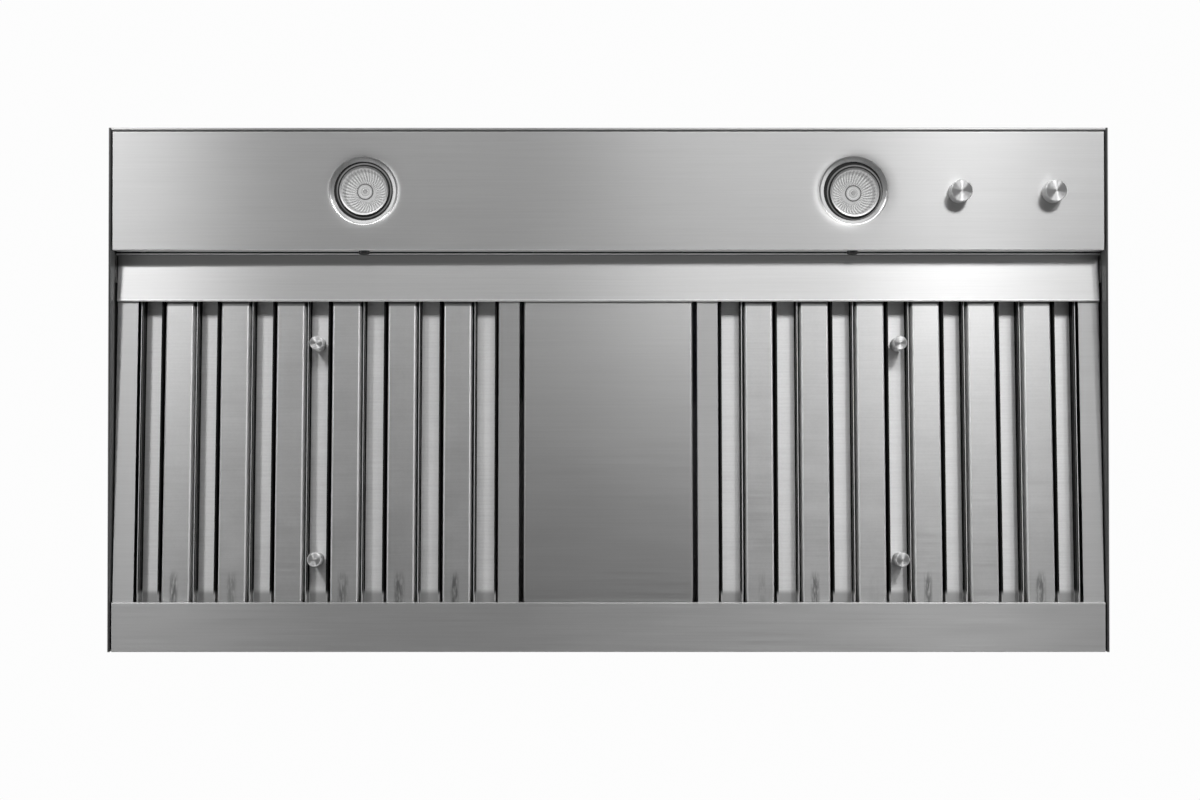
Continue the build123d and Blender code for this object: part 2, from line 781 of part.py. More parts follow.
def control_knob(plane, name):
    """A turned metal knob, hollow underneath to clear the nut."""
    low = -knob_gap - knob_height
    recess = -knob_gap - knob_recess
    bore = shaft_radius + shaft_clearance
    bore_end = recess - shaft_in_knob - shaft_clearance
    with BuildPart() as knob:
        turned(plane, (0, low), (knob_radius - knob_chamfer, low), (knob_radius, low + knob_chamfer),
               (knob_radius, -knob_gap), (knob_recess_radius, -knob_gap), (knob_recess_radius, recess),
               (bore, recess), (bore, bore_end), (0, bore_end))
    save(knob, name)


control_body(control_planes[0], "fan_speed_switch")
control_body(control_planes[1], "light_dimmer")
control_shaft(control_planes[0], "fan_shaft")
control_shaft(control_planes[1], "light_shaft")
control_knob(control_planes[0], "fan_knob")
control_knob(control_planes[1], "light_knob")

with BuildPart() as control_nuts:
    for plane in control_planes:
        with BuildSketch(plane.offset(-nut_height)):
            RegularPolygon(nut_across_flats / 2, 6, major_radius=False)
            Circle(bush_radius + shaft_clearance, mode=Mode.SUBTRACT)
        extrude(amount=nut_height)
save(control_nuts, "control_nuts")


# --- Blower box ---------------------------------------------------------------------------------

with BuildPart() as upper_box:
    block(-box_half, box_half, box_front, box_rear, 0, box_height - sheet)
    block(-box_half - box_flange, box_half + box_flange, box_front - box_flange, box_rear + box_flange,
          0, sheet)
    block(-box_half + sheet, box_half - sheet, box_front + sheet, box_rear - sheet, -sheet, box_height,
          mode=Mode.SUBTRACT)
    drill(screw_planes, screw_radius + shaft_clearance, screw_length)
save(upper_box, "upper_box")

with BuildPart() as upper_lid:
    skirt = box_half + sheet
    block(-skirt, skirt, box_front - sheet, box_rear + sheet, box_height - lid_skirt, box_height)
    block(-box_half, box_half, box_front, box_rear, box_height - lid_skirt - sheet, box_height - sheet,
          mode=Mode.SUBTRACT)
    ring(duct_plane, duct_radius - duct_gauge, 0, -2 * sheet, sheet, mode=Mode.SUBTRACT)
    drill(screw_planes, screw_radius + shaft_clearance, screw_length)
save(upper_lid, "upper_lid")


# --- Outlet collar and damper ---------------------------------------------------------------------

duct_bore = duct_radius - duct_gauge
rod_plane = Plane(origin=(0, duct_y, box_height + rod_rise), x_dir=(0, 1, 0), z_dir=(1, 0, 0))

with BuildPart() as duct_collar:
    turned(duct_plane, (duct_bore, 0), (duct_radius + duct_flange, 0),
           (duct_radius + duct_flange, duct_gauge), (duct_radius, duct_gauge),
           (duct_radius, bead_rise - bead_half_height),
           (duct_radius + bead_half_height, bead_rise), (duct_radius, bead_rise + bead_half_height),
           (duct_radius, duct_height), (duct_bore, duct_height))
    lug_top = rod_rise - flap_gauge / 2 - lug_gap
    with Locations(duct_plane.offset(lug_top - flap_gauge / 2)):
        with PolarLocations(duct_bore - lug_length / 2 + duct_gauge / 2, 4, start_angle=45):
            Box(lug_length, 2 * lug_length, flap_gauge)
    ring(rod_plane, rod_radius + shaft_clearance, 0, -duct_radius - sheet, duct_radius + sheet,
         mode=Mode.SUBTRACT)
    drill(screw_planes, screw_radius + shaft_clearance, screw_length)
save(duct_collar, "duct_collar")

with BuildPart() as damper_rod:
    ring(rod_plane, rod_radius, 0, -duct_bore - duct_gauge / 2, duct_bore + duct_gauge / 2)
save(damper_rod, "damper_rod")


def damper_flap(side, name):
    """Half of the butterfly damper: a half disc with two rolled knuckles round the rod."""
    with BuildPart() as flap:
        ring(duct_plane, flap_radius, 0, rod_rise - flap_gauge / 2, rod_rise + flap_gauge / 2)
        low = box_height + rod_rise - knuckle_radius
        block(-duct_radius, duct_radius, duct_y + side * flap_edge, duct_y - side * duct_radius, low,
              low + 2 * knuckle_radius, mode=Mode.SUBTRACT)
        for index in (-1, 1):
            centre = index * knuckle_pitch / 2 + side * knuckle_pitch / 4
            block(centre - knuckle_length / 2, centre + knuckle_length / 2, duct_y + side * rod_radius,
                  duct_y + side * (flap_edge + flap_gauge), box_height + rod_rise - flap_gauge / 2,
                  box_height + rod_rise + flap_gauge / 2)
            ring(rod_plane, knuckle_radius, 0, centre - knuckle_length / 2, centre + knuckle_length / 2)
        ring(rod_plane, rod_radius + shaft_clearance, 0, -duct_radius, duct_radius, mode=Mode.SUBTRACT)
    save(flap, name)


damper_flap(-1, "front_flap")
damper_flap(1, "rear_flap")


# --- Blower -----------------------------------------------------------------------------------

def scroll_outline(inset, top):
    """The scroll seen from the right: four arcs that open out by one step each quarter turn."""
    step = scroll_step
    centre = step / 2
    first = scroll_radius - step - inset
    tongue = degrees(acos((mouth_inner + inset + centre) / first))
    tongue_y = centre + first * sin(radians(tongue))
    with BuildLine() as outline:
        CenterArc((-centre, centre), first, tongue, 90 - tongue)
        CenterArc((-centre, -centre), scroll_radius - inset, 90, 90)
        CenterArc((centre, -centre), scroll_radius + step - inset, 180, 90)
        CenterArc((centre, centre), scroll_radius + 2 * step - inset, 270, 90)
        Line((mouth_outer - inset, centre), (mouth_outer - inset, top))
        Line((mouth_outer - inset, top), (mouth_inner + inset, top))
        Line((mouth_inner + inset, top), (mouth_inner + inset, tongue_y))
    make_face(outline.edges())


scroll_top = mouth_top - blower_z
inner_scroll = scroll_half - scroll_gauge

with BuildPart() as scroll_wrap:
    with BuildSketch(blower_plane.offset(-inner_scroll)):
        scroll_outline(0, scroll_top)
    extrude(amount=2 * inner_scroll)
    block(-mouth_plate, mouth_plate, duct_y - mouth_plate, duct_y + mouth_plate,
          mouth_top - scroll_gauge, mouth_top)
    with BuildSketch(blower_plane.offset(-inner_scroll)):
        scroll_outline(scroll_gauge, scroll_top + scroll_gauge)
    extrude(amount=2 * inner_scroll, mode=Mode.SUBTRACT)
    drill(screw_planes, screw_radius + shaft_clearance, screw_length)
save(scroll_wrap, "scroll_wrap")


def scroll_side(side, name):
    """A housing side with its round inlet and rolled lip."""
    start = scroll_half - scroll_gauge if side > 0 else -scroll_half
    outward = Plane(origin=blower_plane.origin, x_dir=(0, 1, 0), z_dir=(side, 0, 0))
    with BuildPart() as plate:
        with BuildSketch(blower_plane.offset(start)):
            scroll_outline(0, scroll_top - scroll_gauge)
        extrude(amount=scroll_gauge)
        ring(outward, inlet_radius + inlet_lip, 0, scroll_half, scroll_half + inlet_lip_height)
        ring(outward, inlet_radius, 0, scroll_half - 2 * scroll_gauge, scroll_half + 2 * inlet_lip_height,
             mode=Mode.SUBTRACT)
        lip_edges = plate.edges().filter_by(GeomType.CIRCLE).sort_by(Axis.X, reverse=side > 0)
        fillet([e for e in lip_edges if abs(e.radius - inlet_radius) < same_size][:1], inlet_bend)
        drill(blower_bolt_planes, screw_radius + shaft_clearance, screw_length)
    save(plate, name)


def motor_arm(side, name):
    """A three-legged carrier that holds one end of the axle in the inlet."""
    outward = Plane(origin=blower_plane.origin, x_dir=(0, 1, 0), z_dir=(side, 0, 0))
    face = scroll_half + inlet_lip_height
    reach = inlet_radius + inlet_lip
    with BuildPart() as arm:
        ring(outward, arm_hub_radius, 0, face + arm_gauge - arm_hub_length, face + arm_gauge)
        with BuildSketch(outward.offset(face)):
            with PolarLocations((reach + axle_radius) / 2, 3, start_angle=90):
                Rectangle(reach - axle_radius, arm_width)
        extrude(amount=arm_gauge)
        ring(outward, axle_radius + shaft_clearance, 0, face - 2 * arm_hub_length, face + 2 * arm_hub_length,
             mode=Mode.SUBTRACT)
    save(arm, name)


for side, prefix in ((-1, "left"), (1, "right")):
    scroll_side(side, f"{prefix}_scroll_side")
    motor_arm(side, f"{prefix}_motor_arm")

axle_half = scroll_half + inlet_lip_height + arm_gauge + axle_end
rotor_half = rotor_length / 2

with BuildPart() as motor_axle:
    ring(blower_plane, axle_radius, 0, -axle_half, axle_half)
save(motor_axle, "motor_axle")

with BuildPart() as motor_stator:
    ring(blower_plane, rotor_radius - rotor_wall - stator_gap, axle_radius + shaft_clearance,
         -stator_length / 2, stator_length / 2)
save(motor_stator, "motor_stator")

with BuildPart() as motor_rotor:
    ring(blower_plane, rotor_radius, rotor_radius - rotor_wall, -rotor_half, rotor_half)
    ring(blower_plane, rotor_flange_radius, rotor_radius - rotor_wall, wheel_ring_gauge, 2 * wheel_ring_gauge)
    for side in (-1, 1):
        outward = Plane(origin=blower_plane.origin, x_dir=(0, 1, 0), z_dir=(side, 0, 0))
        seat = bearing_radius + shaft_clearance
        ring(outward, rotor_radius, seat, rotor_half - rotor_wall, rotor_half)
        ring(outward, seat + 2 * rotor_wall, seat, rotor_half, rotor_half + bearing_width)
save(motor_rotor, "motor_rotor")

with BuildPart() as motor_bearings:
    for side in (-1, 1):
        outward = Plane(origin=blower_plane.origin, x_dir=(0, 1, 0), z_dir=(side, 0, 0))
        ring(outward, bearing_radius, axle_radius + shaft_clearance, rotor_half, rotor_half + bearing_width)
save(motor_bearings, "motor_bearings")

blade_radius = wheel_radius - blade_depth / 2
with BuildPart() as blower_wheel:
    ring(blower_plane, wheel_radius - wheel_ring_gauge, rotor_radius + shaft_clearance, -wheel_ring_gauge,
         wheel_ring_gauge)
    with BuildSketch(blower_plane.offset(-wheel_length / 2)):
        with PolarLocations(blade_radius, blade_count):
            Rectangle(blade_depth, blade_gauge, rotation=blade_angle)
    extrude(amount=wheel_length)
    for side in (-1, 1):
        outward = Plane(origin=blower_plane.origin, x_dir=(0, 1, 0), z_dir=(side, 0, 0))
        ring(outward, wheel_radius, wheel_radius - blade_depth, wheel_length / 2 - wheel_ring_gauge,
             wheel_length / 2 + wheel_ring_gauge)
save(blower_wheel, "blower_wheel")

with BuildPart() as blower_brackets:
    for side in (-1, 1):
        near = side * scroll_half
        block(near, side * angle_outer, box_front, box_rear, -sheet - angle_gauge, -sheet)
        block(near, near + side * angle_gauge, box_front, box_rear, -sheet - angle_drop, -sheet)
    ring(blower_plane, inlet_radius + inlet_lip + angle_notch_gap, 0, -2 * angle_outer, 2 * angle_outer,
         mode=Mode.SUBTRACT)
    drill(blower_bolt_planes, screw_radius + shaft_clearance, screw_length)
save(blower_brackets, "blower_brackets")


# --- Electrical boxes -------------------------------------------------------------------------

junction_w, junction_d, junction_h = junction_size
with BuildPart() as junction_box:
    x0, x1 = junction_x - junction_w / 2, junction_x + junction_w / 2
    y0, y1 = junction_y - junction_d / 2, junction_y + junction_d / 2
    block(x0, x1, y0, y1, 0, junction_h)
    block(x0 + sheet, x1 - sheet, y0 + sheet, y1 + sheet, sheet, junction_h + sheet, mode=Mode.SUBTRACT)
    block(x0 + sheet + plate_gap, x1 - sheet - plate_gap, y1 - sheet, y1, sheet + plate_gap, junction_h)
    drill([Plane(origin=(junction_x, y1, junction_h / 2), z_dir=(0, 1, 0))], knockout_radius, 2 * sheet)
    drill([Plane(origin=(junction_x, junction_y, 0))], wire_hole_radius, 2 * sheet)
save(junction_box, "junction_box")

with BuildPart() as junction_cover:
    block(x0 - sheet, x1 + sheet, y0, y1, junction_h, junction_h + sheet)
    for edge_x, outer_x in ((x0, x0 - sheet), (x1, x1 + sheet)):
        block(edge_x, outer_x, y0, y1, junction_h - cover_skirt, junction_h)
save(junction_cover, "junction_cover")

transformer_w, transformer_d, transformer_h = transformer_size
with BuildPart() as lamp_transformer:
    transformer_front = panel_middle - transformer_d / 2
    transformer_rear = panel_middle + transformer_d / 2
    foot = transformer_w / 2 + transformer_foot
    block(-transformer_w / 2, transformer_w / 2, transformer_front, transformer_rear, -sheet - transformer_h, -sheet)
    block(-foot, foot, transformer_front, transformer_rear, -2 * sheet, -sheet)
save(lamp_transformer, "lamp_transformer")
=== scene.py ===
import math

import bmesh
import bpy
import numpy as np
from mathutils import Matrix, Vector


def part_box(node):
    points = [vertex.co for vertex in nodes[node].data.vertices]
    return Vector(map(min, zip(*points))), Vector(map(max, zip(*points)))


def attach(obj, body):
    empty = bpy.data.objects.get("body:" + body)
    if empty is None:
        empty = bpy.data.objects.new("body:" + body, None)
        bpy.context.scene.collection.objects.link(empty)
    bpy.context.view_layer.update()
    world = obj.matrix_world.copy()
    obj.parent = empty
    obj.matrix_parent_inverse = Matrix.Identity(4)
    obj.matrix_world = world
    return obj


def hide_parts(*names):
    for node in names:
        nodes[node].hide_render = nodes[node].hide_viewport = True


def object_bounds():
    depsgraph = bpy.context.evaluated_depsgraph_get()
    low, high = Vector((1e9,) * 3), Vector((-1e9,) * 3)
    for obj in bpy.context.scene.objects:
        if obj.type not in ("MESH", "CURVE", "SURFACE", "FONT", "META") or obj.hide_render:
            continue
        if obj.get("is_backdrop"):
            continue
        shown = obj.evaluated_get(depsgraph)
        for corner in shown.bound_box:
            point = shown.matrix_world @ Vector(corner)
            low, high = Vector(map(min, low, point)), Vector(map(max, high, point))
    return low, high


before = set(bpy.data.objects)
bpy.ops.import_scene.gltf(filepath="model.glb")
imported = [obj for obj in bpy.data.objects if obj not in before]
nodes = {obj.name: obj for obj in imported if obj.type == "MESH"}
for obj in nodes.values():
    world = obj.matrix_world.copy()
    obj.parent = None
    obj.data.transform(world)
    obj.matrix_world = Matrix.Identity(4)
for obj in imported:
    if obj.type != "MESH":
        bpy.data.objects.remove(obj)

cad_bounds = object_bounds()


# --- Sides of the tray --------------------------------------------------------------------------
# Four bent sheets of 1.2 mm stainless, brushed along their length, each with a folded hem that
# makes the rim. The rear sheet turns forward into the plain lip behind the filters.

class Wire:
    """One output of a node, so that maths on it reads as a plain expression."""

    def __init__(self, web, socket):
        self.web = web
        self.socket = socket

    def maths(self, operation, *others):
        return self.web.maths(operation, self, *others)

    def vector(self, operation, *others):
        return self.web.node("ShaderNodeVectorMath", {"operation": operation},
                             dict(enumerate((self, *others))))

    def scaled(self, amount):
        """The vector times a number."""
        return self.web.node("ShaderNodeVectorMath", {"operation": "SCALE"},
                             {0: self, "Scale": amount})

    def __add__(self, other):
        return self.maths("ADD", other)

    def __sub__(self, other):
        return self.maths("SUBTRACT", other)

    def __rsub__(self, other):
        return self.web.maths("SUBTRACT", other, self)

    def __mul__(self, other):
        return self.maths("MULTIPLY", other)

    def __truediv__(self, other):
        return self.maths("DIVIDE", other)

    def __rtruediv__(self, other):
        return self.web.maths("DIVIDE", other, self)

    def __pow__(self, other):
        return self.maths("POWER", other)

    def __rpow__(self, other):
        return self.web.maths("POWER", other, self)

    def __gt__(self, other):
        return self.maths("GREATER_THAN", other)

    def __lt__(self, other):
        return self.maths("LESS_THAN", other)

    __radd__ = __add__
    __rmul__ = __mul__

    def between(self, low, high):
        """0 below low, 1 above high and a smooth step from one to the other."""
        return self.web.node("ShaderNodeMapRange", {"interpolation_type": "SMOOTHSTEP"},
                             {"Value": self, "From Min": low, "From Max": high})

    def past(self, edge, blur):
        """0 before an edge and 1 past it, blurred by the given amount to each side."""
        return self.between(edge - blur, edge + blur)


class Web:
    """A node tree and the one way that its nodes are made."""

    def __init__(self, tree):
        self.tree = tree

    def node(self, kind, settings=None, sockets=None, out=0):
        node = self.tree.nodes.new(kind)
        for name, value in (settings or {}).items():
            setattr(node, name, value)
        self.feed(node, sockets or {})
        return Wire(self, node.outputs[out])

    def maths(self, operation, *values):
        return self.node("ShaderNodeMath", {"operation": operation}, dict(enumerate(values)))

    def feed(self, node, sockets):
        for name, value in sockets.items():
            if isinstance(value, Wire):
                self.tree.links.new(value.socket, node.inputs[name])
            else:
                node.inputs[name].default_value = value


class Finish(Web):
    """A material with one Principled shader."""

    def __init__(self, name, **sockets):
        self.material = bpy.data.materials.new(name)
        self.material.use_nodes = True
        super().__init__(self.material.node_tree)
        self.shader = self.tree.nodes["Principled BSDF"]
        self.place = self.node("ShaderNodeTexCoord", out=3)
        self.surface(**sockets)

    def surface(self, **sockets):
        self.feed(self.shader, {name.replace("_", " "): value for name, value in sockets.items()})

    def across(self):
        """The three object coordinates, each on its own."""
        split = self.node("ShaderNodeSeparateXYZ", sockets={0: self.place}).socket.node
        return [Wire(self, output) for output in split.outputs]

    def join(self, x, y, z):
        return self.node("ShaderNodeCombineXYZ", sockets={0: x, 1: y, 2: z})

    def noise_at(self, place, detail):
        return self.node("ShaderNodeTexNoise",
                         sockets={"Vector": place, "Scale": 1.0, "Detail": detail})

    def noise(self, stretch, detail=2.0):
        """Smooth noise whose waves per metre are given for each axis."""
        return self.noise_at(self.place.vector("MULTIPLY", stretch), detail)

    def mix(self, first, second, share):
        """A colour part of the way from the first to the second."""
        return self.node("ShaderNodeMix", {"data_type": "RGBA"},
                         {0: share, 6: first, 7: second}, out=2)

    def normal(self):
        """The mesh's own normal."""
        return self.node("ShaderNodeNewGeometry", out=1)

    def ruffled(self, grain, lines, depth, lean=None):
        """Normals that rock a little across the grain, plus any wider lean of the sheet."""
        normal = self.normal()
        side = normal.vector("CROSS_PRODUCT", grain)
        total = normal.vector("ADD", side.scaled((lines - 0.5) * (2 * depth)))
        if lean is not None:
            total = total.vector("ADD", lean)
        self.surface(Normal=total.vector("NORMALIZE"))

    def wear(self, *pieces):
        """Puts the finish on every slot of the given pieces."""
        for piece in pieces:
            piece.data.materials.clear()
            piece.data.materials.append(self.material)


def grey(value, warm=0.0):
    return (value * (1 + warm), value, value * (1 - warm), 1.0)


far_centre = -4000.0
across_grain, along_grain, grain_depth = 620.0, 9.0, 0.03
brushed_draw = 0.9


def grain_along(axis, *pieces):
    """Turns each sheet's default tangent to its grain, by a far centre of its texture space."""
    centre = [0.0, 0.0, 0.0]
    centre[1 - axis] = far_centre
    for piece in pieces:
        piece.data.use_auto_texspace = False
        piece.data.texspace_location = centre
        piece.data.texspace_size = (1.0, 1.0, 1.0)


def brushed(name, tone, rough, along=0, bow=None, edges=None):
    """Belt-brushed stainless, whose shine is drawn out across its grain.

    A bow leans its normals, and edges paints light and shade, at its bends and inner faces, over the
    sheet's colour."""
    steel = Finish(name, Metallic=1.0, Anisotropic=brushed_draw, Anisotropic_Rotation=0.25)
    streak = [across_grain] * 3
    streak[along] = along_grain
    grain = [0.0] * 3
    grain[along] = 1.0
    streaks = steel.noise(streak, 4.0)
    clouds = steel.noise((7.0, 11.0, 11.0), 3.0)
    share = (streaks - 0.5) * 0.9 + (clouds - 0.5) * 0.5 + 0.5
    colour = steel.mix(grey(tone * 0.92), grey(tone * 1.07), share)
    steel.surface(Base_Color=edges(steel, colour) if edges else colour,
                  Roughness=(streaks - 0.5) * 0.1 + (clouds - 0.5) * 0.05 + rough)
    steel.ruffled(grain, streaks, grain_depth, bow(steel) if bow else None)
    return steel


end_inner, end_reach, end_blur = 0.5325, 0.279, 0.0001


def shaded_inside(steel, colour):
    """Paints shade on the inner faces of the end sheets, making them darker than their brushed outsides.
    """
    x, y = steel.across()[:2]
    inside = 1.0 - x.maths("ABSOLUTE").past(end_inner, end_blur)
    between = 1.0 - y.maths("ABSOLUTE").past(end_reach, end_blur)
    return steel.mix(colour, grey(0.22), inside * between)


wall_steel = brushed("Brushed side steel", 0.58, 0.4)
wall_steel.wear(nodes["front_wall"], nodes["rear_wall"])
grain_along(0, nodes["front_wall"], nodes["rear_wall"])
# The end sheets' inner faces are painted with shade.
end_steel = brushed("Brushed end steel", 0.55, 0.4, along=1, edges=shaded_inside)
end_steel.wear(nodes["left_wall"], nodes["right_wall"])
grain_along(1, nodes["left_wall"], nodes["right_wall"])


# --- Lamp and control panel ---------------------------------------------------------------------
# One flat stainless panel flush with the rim, brushed from side to side. Each lamp hole is pressed
# into a shallow polished dish, and the press leaves the sheet round it slightly sunk.

# The sheet leans by dish_lean at a dish's edge, and less by a factor e every dish_reach outwards.
dish_x, dish_y = 0.2617, -0.2121
dish_radius, dish_blur, dish_reach, dish_lean, dish_round = 0.0366, 0.0004, 0.0035, 0.22, 0.42
dish_turn_width, dish_ring_rate, dish_ring_depth = 0.0022, 900.0, 0.3
panel_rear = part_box("lamp_panel")[1][1]

panel_steel = Finish("Brushed panel steel", Metallic=1.0, Anisotropic=brushed_draw,
                     Anisotropic_Rotation=0.25)
panel_x, panel_y = panel_steel.across()[:2]
from_dish_x = panel_x.maths("ABSOLUTE") - dish_x
from_dish_y = panel_y - dish_y
from_dish = ((from_dish_x ** 2.0) + (from_dish_y ** 2.0)) ** 0.5
polished = 1.0 - from_dish.past(dish_radius, dish_blur)
sunk = ((dish_radius - from_dish) / dish_reach).maths("EXPONENT")
sunk = sunk.maths("MINIMUM", 1.0) * dish_lean * (1.0 - polished)
outward_x = from_dish_x / from_dish * panel_x.maths("SIGN")
outward_y = from_dish_y / from_dish
panel_lean = panel_steel.join(outward_x * sunk * -1.0, outward_y * sunk * -1.0, 0.0)
panel_streaks = panel_steel.noise((along_grain, across_grain, across_grain), 4.0)
panel_clouds = panel_steel.noise((6.0, 9.0, 9.0), 3.0)
panel_share = (panel_streaks - 0.5) * 0.8 + (panel_clouds - 0.5) * 0.5 + 0.5
# A highlight is painted along the panel's rear bend.
panel_rear_highlight = panel_y.between(panel_rear - 0.0016, panel_rear - 0.0006)
panel_colour = panel_steel.mix(grey(0.56), grey(0.66), panel_share)
panel_steel.surface(Base_Color=panel_steel.mix(panel_colour, grey(0.98), panel_rear_highlight),
                    Roughness=(panel_streaks - 0.5) * 0.1 + 0.4)
panel_steel.ruffled((1.0, 0.0, 0.0), panel_streaks, grain_depth, panel_lean)

# The polished dish is a second shader, because a shader's draw is one number all over. Its outer
# bend is round, and the press tool leaves fine rings on it.
dish_rings = panel_steel.noise_at(panel_steel.join(from_dish * dish_ring_rate, 0.0, 0.0), 2.0)
dish_turn = from_dish.between(dish_radius - dish_turn_width, dish_radius) * dish_round
dish_turn = dish_turn + (dish_rings - 0.5) * dish_ring_depth
dish_bend = panel_steel.join(outward_x * dish_turn, outward_y * dish_turn, 0.0)
dish_shine = panel_steel.node("ShaderNodeBsdfPrincipled", sockets={
    "Metallic": 1.0,
    "Base Color": panel_steel.mix(grey(0.8), grey(0.92), panel_clouds),
    "Roughness": panel_clouds * 0.1 + 0.22,
    "Normal": panel_steel.normal().vector("ADD", dish_bend).vector("NORMALIZE")})
two_shines = panel_steel.node("ShaderNodeMixShader", sockets={
    0: polished, 1: Wire(panel_steel, panel_steel.shader.outputs[0]), 2: dish_shine})
panel_steel.feed(panel_steel.tree.nodes["Material Output"], {"Surface": two_shines})
panel_steel.wear(nodes["lamp_panel"])
grain_along(0, nodes["lamp_panel"])


# --- Filter rail --------------------------------------------------------------------------------
# A narrow stainless rail behind the panel, leaning up towards the front, with a folded hem that
# the front ends of the filters rest on. A thin bright strip along its front narrows the slit, and
# part of its brightness is painted. The panel's shadow on the rail's front and a highlight on its
# rear hem are painted as well.

# The roll turns over roll_width, and the painted shadow on it starts roll_shade further forward.
roll_middle, roll_slant, roll_width, roll_shade, roll_lean = -0.1345, 0.006, 0.0035, 0.001, 0.72
rear_hem, hem_blur = -0.0975, 0.0003


def roll_end(x):
    """Where the rail's roll ends, which is further forward at the right."""
    return roll_middle - x * roll_slant


def rolled(steel):
    """The front of the rail rolls up into the hood."""
    x, y = steel.across()[:2]
    end = roll_end(x)
    return steel.join(0.0, (1.0 - y.between(end - roll_width, end)) * roll_lean, 0.0)


def rail_painted_light(steel, colour):
    """Paints the panel's shadow on the roll, and a highlight on the rear hem."""
    x, y = steel.across()[:2]
    end = roll_end(x)
    painted_roll_shadow = 1.0 - y.between(end - (roll_width + roll_shade), end)
    painted_hem_highlight = y.between(rear_hem, rear_hem + hem_blur)
    return steel.mix(steel.mix(colour, grey(0.36), painted_roll_shadow), grey(0.99), painted_hem_highlight)


rail_steel = brushed("Brushed rail steel", 0.71, 0.4, bow=rolled, edges=rail_painted_light)
rail_steel.wear(nodes["filter_rail"])
grain_along(0, nodes["filter_rail"])


def placed(name, data):
    """A new object with the given data, linked into the scene."""
    thing = bpy.data.objects.new(name, data)
    bpy.context.scene.collection.objects.link(thing)
    return thing


def outward(piece, merge=1e-6):
    """Merges doubles, drops flat faces and turns every face outwards."""
    shape = bmesh.new()
    shape.from_mesh(piece.data)
    bmesh.ops.remove_doubles(shape, verts=shape.verts, dist=merge)
    bmesh.ops.dissolve_degenerate(shape, edges=shape.edges, dist=merge)
    bmesh.ops.recalc_face_normals(shape, faces=shape.faces)
    shape.to_mesh(piece.data)
    shape.free()
    return piece


rail_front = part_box("filter_rail")[0][1]
strip_front, strip_back = rail_front - 0.0014, rail_front + 0.0001
strip_low, strip_top, strip_nose, strip_half = -0.1184, -0.1125, 0.0004, 0.531
strip_lean = 0.85
strip_outline = [(strip_back, strip_top), (strip_back, strip_low + strip_nose),
                 (strip_back - strip_nose, strip_low), (strip_front + strip_nose, strip_low),
                 (strip_front, strip_low + strip_nose), (strip_front, strip_top)]
strip_points = [(end * strip_half, y, z) for end in (-1, 1) for y, z in strip_outline]
corners = len(strip_outline)
strip_faces = [(corner, (corner + 1) % corners, (corner + 1) % corners + corners, corner + corners)
               for corner in range(corners)]
strip_ends = [tuple(range(corners)), tuple(range(corners, 2 * corners))]
strip_mesh = bpy.data.meshes.new("rail_front_strip")
strip_mesh.from_pydata(strip_points, [], strip_faces + strip_ends)
strip = outward(placed("rail_front_strip", strip_mesh))
# The strip's tone is set above the rail's to paint part of a highlight; its lean does the rest.
strip_steel = brushed("Strip steel with painted highlight", 0.92, 0.4,
                      bow=lambda steel: steel.join(0.0, strip_lean, 0.0))
strip_steel.wear(strip)
grain_along(0, strip)
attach(strip, "hood")


# --- Lamps --------------------------------------------------------------------------------------
# Two 50 mm halogen reflector lamps, each in a black holder ring with a bright snap ring: a pressed
# glass bowl with radial ribs, a capped burner and a front glass. The bowls and burner caps glow
# with painted light. The capsule and its coil stand in the middle, and a ceramic socket holds the
# neck.

def middle_of(name):
    """The middle of a node's box at rest."""
    low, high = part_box(name)
    return [(near + far) / 2 for near, far in zip(low, high)]


lamp_centres = {side: middle_of(f"{side}_lamp_reflector")[:2] for side in ("left", "right")}


def from_lamp_axis(finish):
    """How far a point lies from the axis of the nearer lamp, along x, along y and straight."""
    x, y = finish.across()[:2]
    at_right = x > 0.0
    (left_x, left_y), (right_x, right_y) = lamp_centres.values()
    from_x = x - left_x - at_right * (right_x - left_x)
    from_y = y - left_y - at_right * (right_y - left_y)
    return from_x, from_y, ((from_x ** 2.0) + (from_y ** 2.0)) ** 0.5


# A highlight is painted on the ring's step over a width of step_inner to each side, fading by step_outer.
bezel_step, step_inner, step_outer = 0.0287, 0.00042, 0.00098
bezel_black = Finish("Black holder ring", Metallic=0.0)
bezel_speckle = bezel_black.noise((900.0, 900.0, 900.0), 3.0)
from_step = (from_lamp_axis(bezel_black)[2] - bezel_step).maths("ABSOLUTE")
bezel_step_highlight = 1.0 - from_step.between(step_inner, step_outer)
bezel_paint = bezel_black.mix(grey(0.012), grey(0.03), bezel_speckle)
bezel_black.surface(Base_Color=bezel_black.mix(bezel_paint, grey(0.4), bezel_step_highlight),
                    Roughness=bezel_speckle * 0.2 + 0.22)
bezel_black.wear(nodes["left_lamp_bezel"], nodes["right_lamp_bezel"])

clip_lean, clip_lines = -0.26, 0.02
clip_steel = Finish("Bright snap ring", Metallic=1.0)
clip_draw = clip_steel.noise((400.0, 400.0, 60.0), 2.0)
clip_steel.surface(Base_Color=clip_steel.mix(grey(0.5), grey(0.66), clip_draw),
                   Roughness=clip_draw * 0.12 + 0.36)
clip_from_x, clip_from_y, clip_far = from_lamp_axis(clip_steel)
clip_steel.ruffled((1.0, 0.0, 0.0), clip_draw, clip_lines, clip_steel.join(
    clip_from_x / clip_far * clip_lean, clip_from_y / clip_far * clip_lean, 0.0))
clip_steel.wear(nodes["lamp_clips"])

lens_glass = Finish("Clear front glass", Alpha=0.12, IOR=1.46)
lens_glass.surface(Base_Color=grey(0.9), Roughness=lens_glass.noise((90.0, 90.0, 90.0)) * 0.02)
lens_glass.wear(nodes["left_lamp_lens"], nodes["right_lamp_lens"])
